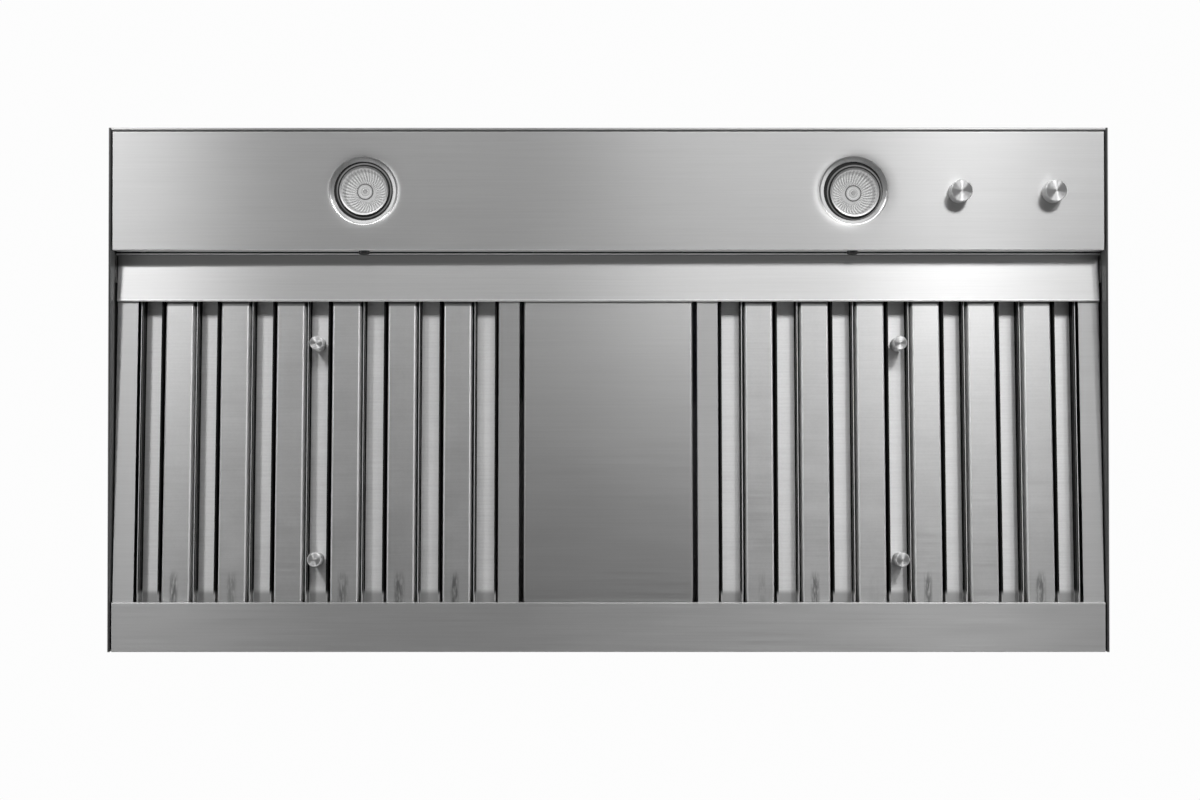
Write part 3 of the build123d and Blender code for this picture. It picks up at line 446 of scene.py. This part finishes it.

# The bowl's colour is painted light and shade after its ribs, with a painted shaded ring at the shoulder,
# and its glow is painted light standing in for what it reflects.
bowl_mirror = Finish("Ribbed bowl mirror", Metallic=0.2, Emission_Strength=1.0)
bowl_mottle = bowl_mirror.noise((500.0, 500.0, 500.0), 3.0)
bowl_rib = bowl_mirror.node("ShaderNodeAttribute", {"attribute_name": "rib"}, out=2)
bowl_far = from_lamp_axis(bowl_mirror)[2]
bowl_shoulder_shade = bowl_far.between(0.0205, 0.0218) * (1.0 - bowl_far.between(0.0228, 0.0234))
bowl_painted_light = bowl_rib * 1.1 + (bowl_mottle - 0.5) * 0.5 - 0.05
bowl_painted_light = bowl_painted_light * (1.0 - bowl_shoulder_shade * 0.55)
bowl_mirror.surface(Base_Color=bowl_mirror.mix(grey(0.1), grey(0.92), bowl_painted_light),
                    Emission_Color=bowl_mirror.mix(grey(0.04), grey(0.42), bowl_painted_light),
                    Roughness=bowl_mottle * 0.12 + 0.22)

# A closed end has a ring of radius pole, whose points are merged within pole_merge.
pole, pole_merge = 1e-7, 2e-6
neck_top = -0.096


def turned(name, profile, segments, middle, ripple=None):
    """A closed profile of radius and height turned about an upright axis through the middle.

    A ripple gives the share by which each step of a ring stands out."""
    steps = np.arange(segments)
    angles = steps * (2 * math.pi / segments)
    points, faces = [], []
    for ring, (radius, height) in enumerate(profile):
        reach = radius * (1 + (ripple(ring, steps) if ripple else 0.0 * steps))
        points.extend(zip(middle[0] + reach * np.cos(angles), middle[1] + reach * np.sin(angles),
                          np.full(segments, middle[2] + height)))
        after = (ring + 1) % len(profile)
        for step in range(segments):
            following = (step + 1) % segments
            faces.append((ring * segments + step, ring * segments + following,
                          after * segments + following, after * segments + step))
    mesh = bpy.data.meshes.new(name)
    mesh.from_pydata(points, [], faces)
    return placed(name, mesh)


bowl_ribs, rib_steps, bowl_rings, rib_depth = 38, 6, 12, 0.008
first_rib_ring, second_row_ring = 3, 5
bowl_low, bowl_neck, bowl_gauge = -0.1345, -0.1065, 0.0024
rim_inner, rim_outer, neck_inner, neck_outer = 0.0238, 0.025, 0.0088, 0.0095
inner_curve, outer_curve = 2.69, 2.42


def bowl_profile():
    """Inner wall from the neck to the rim, then the outer wall back up to the neck."""
    inner = [(neck_inner, neck_top)]
    outer = [(neck_outer, neck_top)]
    for ring in range(bowl_rings + 1):
        reach = ring / bowl_rings
        inner.append((neck_inner + (rim_inner - neck_inner) * reach,
                      bowl_low + (bowl_neck - bowl_gauge - bowl_low) * (1 - reach ** inner_curve)))
        outer.append((neck_outer + (rim_outer - neck_outer) * reach,
                      bowl_low + (bowl_neck - bowl_low) * (1 - reach ** outer_curve)))
    return inner + outer[::-1]


def ribs(ring, steps):
    """How far each step of a ring of the inner wall stands out, from -1 to 1, in two rows."""
    if not first_rib_ring <= ring <= bowl_rings:
        return 0.0 * steps
    row_shift = math.pi * (ring < second_row_ring)
    angle = steps * (2 * math.pi / bowl_ribs / rib_steps)
    uneven = 0.65 + 0.2 * np.sin(3 * angle + ring) + 0.15 * np.sin(11 * angle)
    return uneven * np.cos(angle * bowl_ribs + row_shift)


def ribbed_bowl(side, middle):
    """A lamp's bowl, with its ribs marked on the mesh for the mirror to read."""
    profile, steps = bowl_profile(), bowl_ribs * rib_steps
    bowl = turned(f"{side}_ribbed_bowl", profile, steps, middle,
                  lambda ring, step: rib_depth * ribs(ring, step))
    marks = [0.5 + 0.5 * ribs(ring, np.arange(steps)) for ring in range(len(profile))]
    rib_marks = bowl.data.attributes.new("rib", "FLOAT", "POINT")
    rib_marks.data.foreach_set("value", np.concatenate(marks).astype(np.float32))
    return outward(bowl)


burner_radius, burner_low, rim_width, rim_height = 0.0088, -0.1275, 0.0012, 0.0012
rim_blur, burner_ring_rate = 0.0002, 2600.0

# The burner cap glows with painted light, and a dark ring is painted round the edge of its face.
burner_cap = Finish("Burner cap", Metallic=0.0, Emission_Strength=1.0)
from_burner = from_lamp_axis(burner_cap)[2]
rim_inside = burner_radius - rim_width
burner_rim = from_burner.between(rim_inside - rim_blur, rim_inside)
burner_rim = burner_rim * (burner_cap.across()[2] < burner_low + rim_height)
burner_grain = burner_cap.noise((900.0, 900.0, 900.0), 4.0)
burner_rings = (from_burner * burner_ring_rate).maths("SINE") * 0.5 + 0.5
burner_face = burner_cap.mix(grey(0.5), grey(0.97), burner_rings * 0.8 + burner_grain * 0.2)
burner_cap.surface(Base_Color=burner_cap.mix(burner_face, grey(0.03), burner_rim),
                   Emission_Color=burner_cap.mix(grey(0.24), grey(0.0), burner_rim),
                   Roughness=burner_grain * 0.2 + 0.4)

# The cap's face is slightly dished inside its rim.
burner_profile = [(pole, burner_low + 0.0016), (0.0048, burner_low + 0.0014),
                  (0.0072, burner_low + 0.0002), (0.0080, burner_low),
                  (burner_radius, burner_low + 0.0005), (burner_radius, neck_top),
                  (pole, neck_top)]
burner_sides = 48

capsule_outer, capsule_inner, capsule_low = 0.0054, 0.0048, -0.1308
dome_height, dome_inner_height, dome_gauge = 0.0030, 0.0023, 0.0007
capsule_sides = 32


def capsule_glass(side, middle):
    """A domed glass tube, open at the top, with a wall of its own."""
    dome = [math.radians(angle) for angle in range(0, 91, 15)]
    outside = [(capsule_outer * math.sin(angle) + pole,
                capsule_low + dome_height * (1 - math.cos(angle))) for angle in dome]
    inside = [(capsule_inner * math.sin(angle) + pole,
               capsule_low + dome_gauge + dome_inner_height * (1 - math.cos(angle)))
              for angle in dome]
    profile = outside + [(capsule_outer, neck_top), (capsule_inner, neck_top)] + inside[::-1]
    capsule = outward(turned(f"{side}_capsule_glass", profile, capsule_sides, middle), pole_merge)
    for polygon in capsule.data.polygons:
        polygon.use_smooth = True
    return capsule


def finished_mesh(piece):
    """A plain mesh of a piece, as its curve or its modifiers leave it."""
    bpy.context.view_layer.update()
    depsgraph = bpy.context.evaluated_depsgraph_get()
    return bpy.data.meshes.new_from_object(piece.evaluated_get(depsgraph))


coil_turns, coil_start, coil_end, coil_wire = 2, 0.0005, 0.0026, 0.00024
coil_low, coil_top, coil_steps = -0.1281, -0.098, 16


def filament(side, middle):
    """A flat spiral of wire, whose inner end runs straight up."""
    coil = bpy.data.curves.new(f"{side}_coil", "CURVE")
    coil.dimensions = "3D"
    coil.bevel_depth = coil_wire
    coil.bevel_resolution = 1
    turns = np.linspace(0, coil_turns * 2 * math.pi, coil_turns * coil_steps)
    reaches = np.linspace(coil_start, coil_end, coil_turns * coil_steps)
    points = [(middle[0] + coil_start, middle[1], coil_top)]
    points += [(middle[0] + reach * math.cos(turn), middle[1] + reach * math.sin(turn), coil_low)
               for turn, reach in zip(turns, reaches)]
    spline = coil.splines.new("POLY")
    spline.points.add(len(points) - 1)
    for point, (x, y, z) in zip(spline.points, points):
        point.co = (x, y, z, 1)
    draft = placed("coil_draft", coil)
    mesh = finished_mesh(draft)
    bpy.data.objects.remove(draft)
    return placed(f"{side}_filament", mesh)


def even_finish(name, metal, waves, tones, roughness, detail=3.0, warm=0.0, **sockets):
    """A finish whose tone and roughness, each a lowest and a highest, follow one fine noise."""
    finish = Finish(name, Metallic=metal, **sockets)
    grain = finish.noise(waves, detail)
    dark, light = tones
    smooth, coarse = roughness
    finish.surface(Base_Color=finish.mix(grey(dark, warm), grey(light, warm), grain),
                   Roughness=grain * (coarse - smooth) + smooth)
    return finish


tungsten = even_finish("Tungsten filament", 1.0, (2000.0,) * 3, (0.12, 0.22), (0.3, 0.6),
                       detail=2.0)

for side, (centre_x, centre_y) in lamp_centres.items():
    lamp_axis = (centre_x, centre_y, 0)
    bowl = ribbed_bowl(side, lamp_axis)
    bowl_mirror.wear(bowl)
    burner = turned(f"{side}_burner_cap", burner_profile, burner_sides, lamp_axis)
    burner = outward(burner, pole_merge)
    burner_cap.wear(burner)
    for piece in (bowl, burner):
        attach(piece, "hood")
        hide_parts(f"{side}_lamp_reflector")

    capsule = capsule_glass(side, lamp_axis)
    lens_glass.wear(capsule)
    coil_piece = filament(side, lamp_axis)
    tungsten.wear(coil_piece)
    for piece in (capsule, coil_piece):
        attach(piece, "hood")
        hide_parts("lamp_capsules")

ceramic = even_finish("Lamp socket ceramic", 0.0, (700.0,) * 3, (0.72, 0.82), (0.6, 0.8),
                      detail=4.0, warm=0.03)
ceramic.wear(nodes["lamp_sockets"])


# --- Turned control knobs -----------------------------------------------------------------------
# Two solid metal knobs turned on a lathe, so fine rings on the face throw a bright wedge to each
# side of the centre. Their controls, shafts and nuts are behind and under them.

ring_rate, ring_depth = 1500.0, 0.05


def turned_metal(metal, tone, rough, from_x, from_y):
    """Gives metal the fine rings of a lathe, round the axis that the offsets are measured from."""
    up = metal.across()[2]
    far = ((from_x ** 2.0) + (from_y ** 2.0) + 1e-9) ** 0.5
    cuts = metal.noise_at(metal.join(far * ring_rate, up * ring_rate, from_y * 60.0), 3.0)
    metal.surface(Base_Color=metal.mix(grey(tone * 0.88), grey(tone * 1.1), cuts),
                  Roughness=(cuts - 0.5) * 0.2 + rough)
    metal.ruffled(metal.join(from_y / far * -1.0, from_x / far, 0.0), cuts, ring_depth)


def grain_round(piece, x, y):
    """Makes the default tangent of a piece run round the upright axis at x, y."""
    piece.data.use_auto_texspace = False
    piece.data.texspace_location = (x, y, 0.0)
    piece.data.texspace_size = (1.0, 1.0, 1.0)


knob_x, knob_pitch, knob_y = 0.4238, 0.1, -0.2101
knob_metal = Finish("Turned knob metal", Metallic=0.85, Anisotropic=0.96, Anisotropic_Rotation=0.25)
knob_across, knob_along = knob_metal.across()[:2]
knob_side = knob_across - knob_x
knob_from_x = knob_side - knob_side.maths("SIGN") * (knob_pitch / 2)
turned_metal(knob_metal, 0.86, 0.32, knob_from_x, knob_along - knob_y)
knob_metal.wear(nodes["fan_knob"], nodes["light_knob"])
grain_round(nodes["fan_knob"], knob_x - knob_pitch / 2, knob_y)
grain_round(nodes["light_knob"], knob_x + knob_pitch / 2, knob_y)

bar_steel = even_finish("Ground bar steel", 1.0, (60.0, 900.0, 900.0), (0.5, 0.68), (0.2, 0.4))
bar_steel.wear(*(nodes[name] for name in ("fan_shaft", "light_shaft", "damper_rod", "motor_axle",
                                          "motor_bearings")))
nut_plate = even_finish("Plated nut", 1.0, (500.0,) * 3, (0.6, 0.76), (0.18, 0.38))
nut_plate.wear(nodes["control_nuts"])
moulded = even_finish("Moulded control case", 0.0, (1500.0,) * 3, (0.02, 0.05), (0.45, 0.65),
                      detail=2.0)
moulded.wear(nodes["fan_speed_switch"], nodes["light_dimmer"])


# --- Baffle filters -----------------------------------------------------------------------------
# Two stainless filters of folded channels in a channel frame. The nearer channels have their edges
# turned up into the hood, the farther ones face down behind the gaps, and spot welds at the rear
# leave small dark smudges. Two turned pull knobs stand on the middle far channel.

filter_x, baffle_pitch = 0.3123, 0.060
# The sheet's slope grows by baffle_sag for each metre from baffle_middle.
baffle_middle, baffle_sag = 0.03, 0.6
bend_blur, bend_fade = 0.0003, 0.0002
rail_shadow, rear_shade = (-0.0915, -0.0895), (0.214, 0.221)


def weld_smudges(steel, y, across):
    """Small ragged smudges over the spot welds near the rear, fainter over some of them."""
    wander = steel.noise((16.0, 0.0, 0.0), 1.0)
    from_spot = (across + (wander - 0.5) * 0.3).maths("ABSOLUTE")
    spot = 1.0 - from_spot.between(0.03, 0.11)
    near_weld = y.between(0.19, 0.207) * wander.between(0.38, 0.58)
    ragged = steel.noise((500.0, 90.0, 1.0), 3.0).between(0.3, 0.6)
    return spot * near_weld * ragged


def baffle_steel(name, tone, rough, draw, near, bend_at, bend_end, painted_bend_tone):
    """Stainless channels, brushed from side to side and more mottled than the panels.

    The bends of a channel lie between bend_at and bend_end from its middle, with a painted
    highlight on the near channels and painted shade on the far ones. The near channels also sag,
    show the welds and have a painted shadow of the rail at the front; the far ones have painted
    shade on their faces towards the middle and at the rear."""
    steel = Finish(name, Metallic=1.0, Anisotropic=draw, Anisotropic_Rotation=0.25)
    x, y = steel.across()[:2]
    streaks = steel.noise((14.0, 520.0, 520.0), 4.0)
    clouds = steel.noise((28.0, 34.0, 34.0), 4.0)
    sand = steel.noise((420.0, 420.0, 420.0), 2.0)
    share = (streaks - 0.5) * 0.7 + (clouds - 0.5) * 0.7 + (sand - 0.5) * 0.35 + 0.5
    colour = steel.mix(grey(tone * 0.86), grey(tone * 1.1), share)

    # The far channels stand half a pitch from the near ones. Ten pitches keep the sum above 0.
    pitches = (x - x.maths("SIGN") * filter_x) / baffle_pitch + (10.0 if near else 10.5)
    across = pitches.maths("FRACT") - 0.5
    off = across.maths("ABSOLUTE") * baffle_pitch
    bend_light_and_shade = off.between(bend_at - bend_blur, bend_at)
    bend_light_and_shade = bend_light_and_shade * (1.0 - off.between(bend_end, bend_end + bend_fade))
    # Bends get a painted highlight on the near channels and painted shade on the far ones.
    colour = steel.mix(colour, grey(painted_bend_tone), bend_light_and_shade)
    if near:
        colour = steel.mix(colour, grey(tone * 0.42), weld_smudges(steel, y, across))
        # A shadow of the rail is painted across the front ends of the near channels.
        colour = steel.mix(colour, grey(tone * 0.3), 1.0 - y.between(*rail_shadow))
    else:
        # Painted shade on the far flanges' faces towards the middle, and at the far channels' rear.
        to_middle = across * x.maths("SIGN") < 0.0
        colour = steel.mix(colour, grey(painted_bend_tone), to_middle * (off > bend_end))
        colour = steel.mix(colour, grey(tone * 0.55), y.between(*rear_shade))
    sag = steel.join(0.0, (y - baffle_middle) * baffle_sag, 0.0) if near else None
    steel.surface(Base_Color=colour,
                  Roughness=(streaks - 0.5) * 0.14 + (clouds - 0.5) * 0.1 + rough)
    steel.ruffled((1.0, 0.0, 0.0), streaks, grain_depth, sag)
    return steel


near_steel = baffle_steel("Near baffle steel", 0.63, 0.41, brushed_draw, near=True,
                          bend_at=0.0131, bend_end=0.02, painted_bend_tone=0.98)
near_steel.wear(nodes["left_near_baffles"], nodes["right_near_baffles"])
far_steel = baffle_steel("Far baffle steel", 0.98, 0.52, 0.7, near=False,
                         bend_at=0.0102, bend_end=0.0112, painted_bend_tone=0.02)
far_steel.wear(nodes["left_far_baffles"], nodes["right_far_baffles"])
frame_steel = brushed("Filter frame steel", 0.56, 0.41)
frame_steel.wear(nodes["left_filter_frame"], nodes["right_filter_frame"])
grain_along(0, *(nodes[f"{side}_{kind}"] for side in ("left", "right")
                 for kind in ("near_baffles", "far_baffles", "filter_frame")))

pull_middle, pull_half = 0.0659, 0.1154
pull_metal = Finish("Turned pull knob", Metallic=1.0, Anisotropic=0.9, Anisotropic_Rotation=0.25)
pull_across, pull_along = pull_metal.across()[:2]
pull_from_x = pull_across - pull_across.maths("SIGN") * filter_x
pull_side = pull_along - pull_middle
pull_from_y = pull_side - pull_side.maths("SIGN") * pull_half
turned_metal(pull_metal, 0.9, 0.36, pull_from_x, pull_from_y)
for side, sign in (("left", -1), ("right", 1)):
    both = nodes[f"{side}_filter_knobs"].data
    for end, keep in (("front", -1), ("rear", 1)):
        knob_mesh = both.copy()
        shape = bmesh.new()
        shape.from_mesh(knob_mesh)
        others = [point for point in shape.verts if (point.co.y - pull_middle) * keep < 0]
        bmesh.ops.delete(shape, geom=others, context="VERTS")
        shape.to_mesh(knob_mesh)
        shape.free()
        knob = placed(f"{side}_{end}_pull_knob", knob_mesh)
        pull_metal.wear(knob)
        grain_round(knob, sign * filter_x, pull_middle + keep * pull_half)
        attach(knob, f"{side}_filter")
        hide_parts(f"{side}_filter_knobs")
nut_plate.wear(nodes["left_knob_screws"], nodes["right_knob_screws"])


# --- Panel between the filters ------------------------------------------------------------------
# A plain lift-out stainless tray on the same slope as the filters, with a bent edge at each side.
# The thin sheet bows a little, so its shine falls off towards the rear.

bow_middle, bow_rate = 0.03, 0.9


def bowed(steel):
    """The front of the panel faces the cook and its rear the wall."""
    return steel.join(0.0, (steel.across()[1] - bow_middle) * bow_rate, 0.0)


centre_steel = brushed("Brushed centre steel", 0.515, 0.4, bow=bowed)
centre_steel.wear(nodes["centre_panel"])
grain_along(0, nodes["centre_panel"])


# --- Tray top, blower box, lid and ducts --------------------------------------------------------
# Folded, zinc-coated sheet, whose crystals show as a faint spangle. Nothing of it is seen from
# below. Each sheet has its own size of crystal.

crystal_wobble = 0.012


def zinc(name, tone, crystal):
    """Zinc-coated sheet: large flat crystals that each shine a little differently."""
    coat = Finish(name, Metallic=1.0)
    wobble = coat.noise((60.0, 60.0, 60.0), 3.0)
    place = coat.place.vector("ADD", coat.join(wobble, wobble, wobble).scaled(crystal_wobble))
    cells = coat.node("ShaderNodeTexVoronoi", sockets={"Vector": place, "Scale": 1.0 / crystal},
                      out=1)
    shine = coat.node("ShaderNodeSeparateColor", sockets={0: cells})
    ridges = coat.noise((300.0, 300.0, 300.0), 3.0)
    share = shine * 0.7 + ridges * 0.3
    coat.surface(Base_Color=coat.mix(grey(tone * 0.88), grey(tone * 1.05, -0.01), share),
                 Roughness=shine * 0.1 + ridges * 0.1 + 0.33)
    return coat


top_zinc = zinc("Zinc coated top sheet", 0.56, 0.012)
top_zinc.wear(*(nodes[name] for name in ("top_panel", "upper_box", "upper_lid", "blower_brackets",
                                         "junction_box", "junction_cover")))
duct_zinc = zinc("Zinc coated duct sheet", 0.6, 0.011)
duct_zinc.wear(*(nodes[name] for name in ("duct_collar", "front_flap", "rear_flap",
                                          "left_lamp_can", "right_lamp_can")))
blower_zinc = zinc("Zinc coated blower sheet", 0.58, 0.009)
blower_zinc.wear(*(nodes[name] for name in ("scroll_wrap", "left_scroll_side", "right_scroll_side",
                                            "blower_wheel", "left_motor_arm", "right_motor_arm")))


# --- Motor and transformer ----------------------------------------------------------------------
# The blower's outer-rotor motor, painted black over its laminated core, and the plain case of the
# lamp transformer.

motor_black = even_finish("Motor paint", 0.0, (800.0,) * 3, (0.02, 0.045), (0.3, 0.5),
                          Coat_Weight=0.3)
motor_black.wear(nodes["motor_rotor"])
core_iron = even_finish("Laminated core", 1.0, (3000.0, 6.0, 6.0), (0.16, 0.34), (0.45, 0.65),
                        detail=1.0, warm=0.06)
core_iron.wear(nodes["motor_stator"])
case_white = even_finish("Transformer case", 0.0, (400.0,) * 3, (0.7, 0.8), (0.3, 0.45))
case_white.wear(nodes["lamp_transformer"])


# --- Rivets, screws and bolts -------------------------------------------------------------------
# Pop rivets join the sides of the tray, and cross-head screws hold the blower box. Each kind is one
# head, set on its places by geometry nodes. The bolts keep their solids' plain heads.

# A head's rim is what lies within rim_share of a fastener's widest reach.
rim_share = 0.98
any_turn = 6.28


def loose_parts(shape):
    """The points of each separate shell of a mesh."""
    seen = set()
    for first in shape.verts:
        if first.index in seen:
            continue
        group, queue = [], [first]
        seen.add(first.index)
        while queue:
            vertex = queue.pop()
            group.append(vertex.co.copy())
            for edge in vertex.link_edges:
                other = edge.other_vert(vertex)
                if other.index not in seen:
                    seen.add(other.index)
                    queue.append(other)
        yield np.array(group)


def source_heads(source):
    """Each fastener of a node: the middle of the underside of its head and the way it faces."""
    shape = bmesh.new()
    shape.from_mesh(nodes[source].data)
    bmesh.ops.remove_doubles(shape, verts=shape.verts, dist=1e-6)
    found = []
    for cloud in loose_parts(shape):
        low, high = cloud.min(0), cloud.max(0)
        middle = (low + high) / 2

        # A fastener is as wide one way as the other, so its long axis has the nearest two widths.
        axis = int(np.argmin([np.ptp(np.delete(high - low, way)) for way in range(3)]))
        spread = np.linalg.norm(np.delete(cloud - middle, axis, 1), axis=1)
        head = cloud[:, axis][spread > spread.max() * rim_share]
        faces_up = abs(head.mean() - high[axis]) < abs(head.mean() - low[axis])
        base = middle.copy()
        base[axis] = head.min() if faces_up else head.max()
        direction = np.zeros(3)
        direction[axis] = 1.0 if faces_up else -1.0
        found.append((tuple(base), tuple(direction)))
    shape.free()
    return sorted(found)


def heads(name, source, template, finish):
    """Sets the template head on each fastener of a node, pointing the way that fastener points."""
    fasteners = source_heads(source)
    points = bpy.data.meshes.new(f"{name}_places")
    points.from_pydata([place for place, _ in fasteners], [], [])
    axis = points.attributes.new("axis", "FLOAT_VECTOR", "POINT")
    for index, (_, direction) in enumerate(fasteners):
        axis.data[index].vector = direction
    holder = placed(f"{name}_draft", points)

    tree = bpy.data.node_groups.new(f"{name}_rule", "GeometryNodeTree")
    tree.interface.new_socket("Geometry", in_out="INPUT", socket_type="NodeSocketGeometry")
    head_socket = tree.interface.new_socket("Head", in_out="INPUT", socket_type="NodeSocketObject")
    spin_socket = tree.interface.new_socket("Spin", in_out="INPUT", socket_type="NodeSocketFloat")
    tree.interface.new_socket("Geometry", in_out="OUTPUT", socket_type="NodeSocketGeometry")
    rule = Web(tree)
    entry = rule.node("NodeGroupInput").socket.node
    head = rule.node("GeometryNodeObjectInfo",
                     sockets={"Object": Wire(rule, entry.outputs["Head"])}, out=4)
    way = rule.node("GeometryNodeInputNamedAttribute", {"data_type": "FLOAT_VECTOR"},
                    {"Name": "axis"})
    aligned = rule.node("FunctionNodeAlignRotationToVector", {"axis": "Z"}, {"Vector": way})
    turn = rule.node("FunctionNodeRandomValue", {"data_type": "FLOAT"},
                     {"Min": 0.0, "Max": Wire(rule, entry.outputs["Spin"]), "Seed": 4}, out=1)
    upright_turn = rule.node("ShaderNodeCombineXYZ", sockets={2: turn})
    twist = rule.node("FunctionNodeEulerToRotation", sockets={0: upright_turn})
    turned_way = rule.node("FunctionNodeRotateRotation", {"rotation_space": "LOCAL"},
                           {"Rotation": aligned, "Rotate By": twist})
    spots = rule.node("GeometryNodeMeshToPoints",
                      sockets={"Mesh": Wire(rule, entry.outputs["Geometry"])})
    on_spots = rule.node("GeometryNodeInstanceOnPoints", sockets={
        "Points": spots, "Instance": head, "Rotation": turned_way})
    real = rule.node("GeometryNodeRealizeInstances", sockets={"Geometry": on_spots})
    painted = rule.node("GeometryNodeSetMaterial",
                        sockets={"Geometry": real, "Material": finish.material})
    leave = tree.nodes.new("NodeGroupOutput")
    tree.links.new(painted.socket, leave.inputs[0])

    rule_modifier = holder.modifiers.new("rule", "NODES")
    rule_modifier.node_group = tree
    rule_modifier[head_socket.identifier] = template
    rule_modifier[spin_socket.identifier] = any_turn
    mesh = finished_mesh(holder)
    bpy.data.objects.remove(holder)
    bpy.data.objects.remove(template)
    piece = placed(name, mesh)
    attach(piece, "hood")
    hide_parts(source)
    return piece


rivet_metal = even_finish("Rivet metal", 1.0, (600.0,) * 3, (0.55, 0.72), (0.25, 0.45))
rivet_profile = [(pole, 0.0), (0.0034, 0.0), (0.0034, 0.00025), (0.0030, 0.0007), (0.0022, 0.00102),
                 (0.0013, 0.0011), (0.0011, 0.0006), (0.0009, 0.0005), (pole, 0.00055)]
rivet_sides, screw_sides = 20, 24
rivet_head = outward(turned("rivet_template", rivet_profile, rivet_sides, (0, 0, 0)), pole_merge)
rivets = heads("tray_rivets", "body_rivets", rivet_head, rivet_metal)

screw_profile = [(pole, 0.0), (0.004, 0.0), (0.004, 0.0009), (0.0037, 0.0016), (0.003, 0.0020),
                 (0.0018, 0.0022), (pole, 0.0022)]
cross_reach, cross_width, cross_depth = 0.0022, 0.24, 0.0012
bar_faces = [(0, 1, 3, 2), (4, 6, 7, 5), (0, 4, 5, 1), (2, 3, 7, 6), (0, 2, 6, 4), (1, 5, 7, 3)]


def cross_head(name, profile):
    """A pan head with a cross recess cut into it."""
    head = outward(turned(name, profile, screw_sides, (0, 0, 0)), pole_merge)
    top = max(height for _, height in profile)
    for angle in (0.0, math.pi / 2):
        bar = bpy.data.meshes.new("bar")
        bar.from_pydata([(x * cross_reach, y * cross_reach * cross_width, top + z * cross_depth)
                         for x in (-1, 1) for y in (-1, 1) for z in (-1, 1)], [], bar_faces)
        bar.transform(Matrix.Rotation(angle, 4, "Z"))
        cutter = outward(placed("cutter", bar))
        cut = head.modifiers.new("cut", "BOOLEAN")
        cut.operation = "DIFFERENCE"
        cut.object = cutter
        mesh = finished_mesh(head)
        head.modifiers.clear()
        head.data = mesh
        bpy.data.objects.remove(cutter)
    return head


screw_head = cross_head("screw_template", screw_profile)
screws = heads("box_cross_screws", "box_screws", screw_head, rivet_metal)
rivet_metal.wear(nodes["blower_bolts"])

# The bracket bolts are given a dark finish.
dark_bolt = even_finish("Dark bracket bolt", 1.0, (600.0,) * 3, (0.05, 0.12), (0.35, 0.55))
dark_bolt.wear(nodes["bracket_bolts"])


# --- Floor, lamps of the studio and camera ------------------------------------------------------
# The hood hangs well above a plain pale floor and is seen from straight below, as when looking up.
# The floor looks white to the camera and through glass, and dimmer in the steel.

floor_height, floor_half, floor_glow, floor_in_steel = -3.9, 8.0, 0.55, 0.06
floor_mesh = bpy.data.meshes.new("floor")
floor_mesh.from_pydata([(x * floor_half, y * floor_half, floor_height)
                        for x, y in ((-1, -1), (1, -1), (1, 1), (-1, 1))], [], [(0, 1, 2, 3)])
floor = placed("floor", floor_mesh)
floor_paint = Finish("Pale floor", Roughness=0.8)
floor_mottle = floor_paint.noise((3.0, 3.0, 3.0), 3.0)
floor_rays = floor_paint.node("ShaderNodeLightPath").socket.node
floor_seen = Wire(floor_paint, floor_rays.outputs["Is Camera Ray"])
floor_seen = floor_seen + Wire(floor_paint, floor_rays.outputs["Is Transmission Ray"])
floor_seen = floor_seen + Wire(floor_paint, floor_rays.outputs["Is Glossy Ray"]) * floor_in_steel
floor_paint.surface(Base_Color=floor_paint.mix(grey(0.79), grey(0.83), floor_mottle),
                    Emission_Color=grey(floor_glow), Emission_Strength=floor_seen)
floor_paint.wear(floor)
floor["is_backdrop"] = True

studio_seen, studio_light = 0.94, 0.04
world = bpy.data.worlds.new("studio")
world.use_nodes = True
bpy.context.scene.world = world
sky = Web(world.node_tree)
sky_rays = sky.node("ShaderNodeLightPath").socket.node
direct = Wire(sky, sky_rays.outputs["Is Camera Ray"]) + Wire(sky, sky_rays.outputs["Is Glossy Ray"])
direct = direct + Wire(sky, sky_rays.outputs["Is Transmission Ray"])
sky.feed(world.node_tree.nodes["Background"], {
    "Color": (1.0, 1.0, 1.0, 1.0),
    "Strength": direct.maths("MINIMUM", 1.0) * studio_seen + studio_light,
})

softbox_y, softbox_z, softbox_depth = -1.75, -2.54, 0.5
softboxes = {
    "left_front": ((-1.4, softbox_y, softbox_z), (0.4, softbox_depth), 15.0),
    "left_middle": ((-0.5, softbox_y, softbox_z), (0.6, softbox_depth), 4.2),
    "right_middle": ((0.3, softbox_y, softbox_z), (0.6, softbox_depth), 9.0),
    "key_right_front": ((1.0, softbox_y, softbox_z), (0.35, softbox_depth), 14.3),
    "far_right_front": ((1.7, softbox_y, softbox_z), (0.4, softbox_depth), 9.3),
    "above": ((0.5, 0.8, 3.4), (1.6, 1.2), 18.0),
}
hood_middle = Vector((0, 0, -0.05))
for name, (place, size, power) in softboxes.items():
    light = bpy.data.lights.new(name, "AREA")
    light.shape = "RECTANGLE"
    light.size, light.size_y = size
    light.energy = power
    softbox = placed(name, light)
    softbox.location = place
    softbox.rotation_euler = (hood_middle - Vector(place)).to_track_quat("-Z", "Y").to_euler()
    softbox.visible_camera = False

camera_data = bpy.data.cameras.new("camera")
camera_data.lens = 50.0
camera_data.sensor_width = 36.0
camera = placed("camera", camera_data)
camera.location = (-0.008965, 0.031137, -1.915455)
camera.rotation_euler = [math.radians(angle) for angle in (180.641644, 0.0019446, 0.0052133)]
bpy.context.scene.camera = camera
bpy.context.scene.view_settings.view_transform = "Standard"

sizes = {"cad": cad_bounds, "visual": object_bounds()}
sizes = {name: [[float(value) for value in corner] for corner in bounds] for name, bounds in sizes.items()}
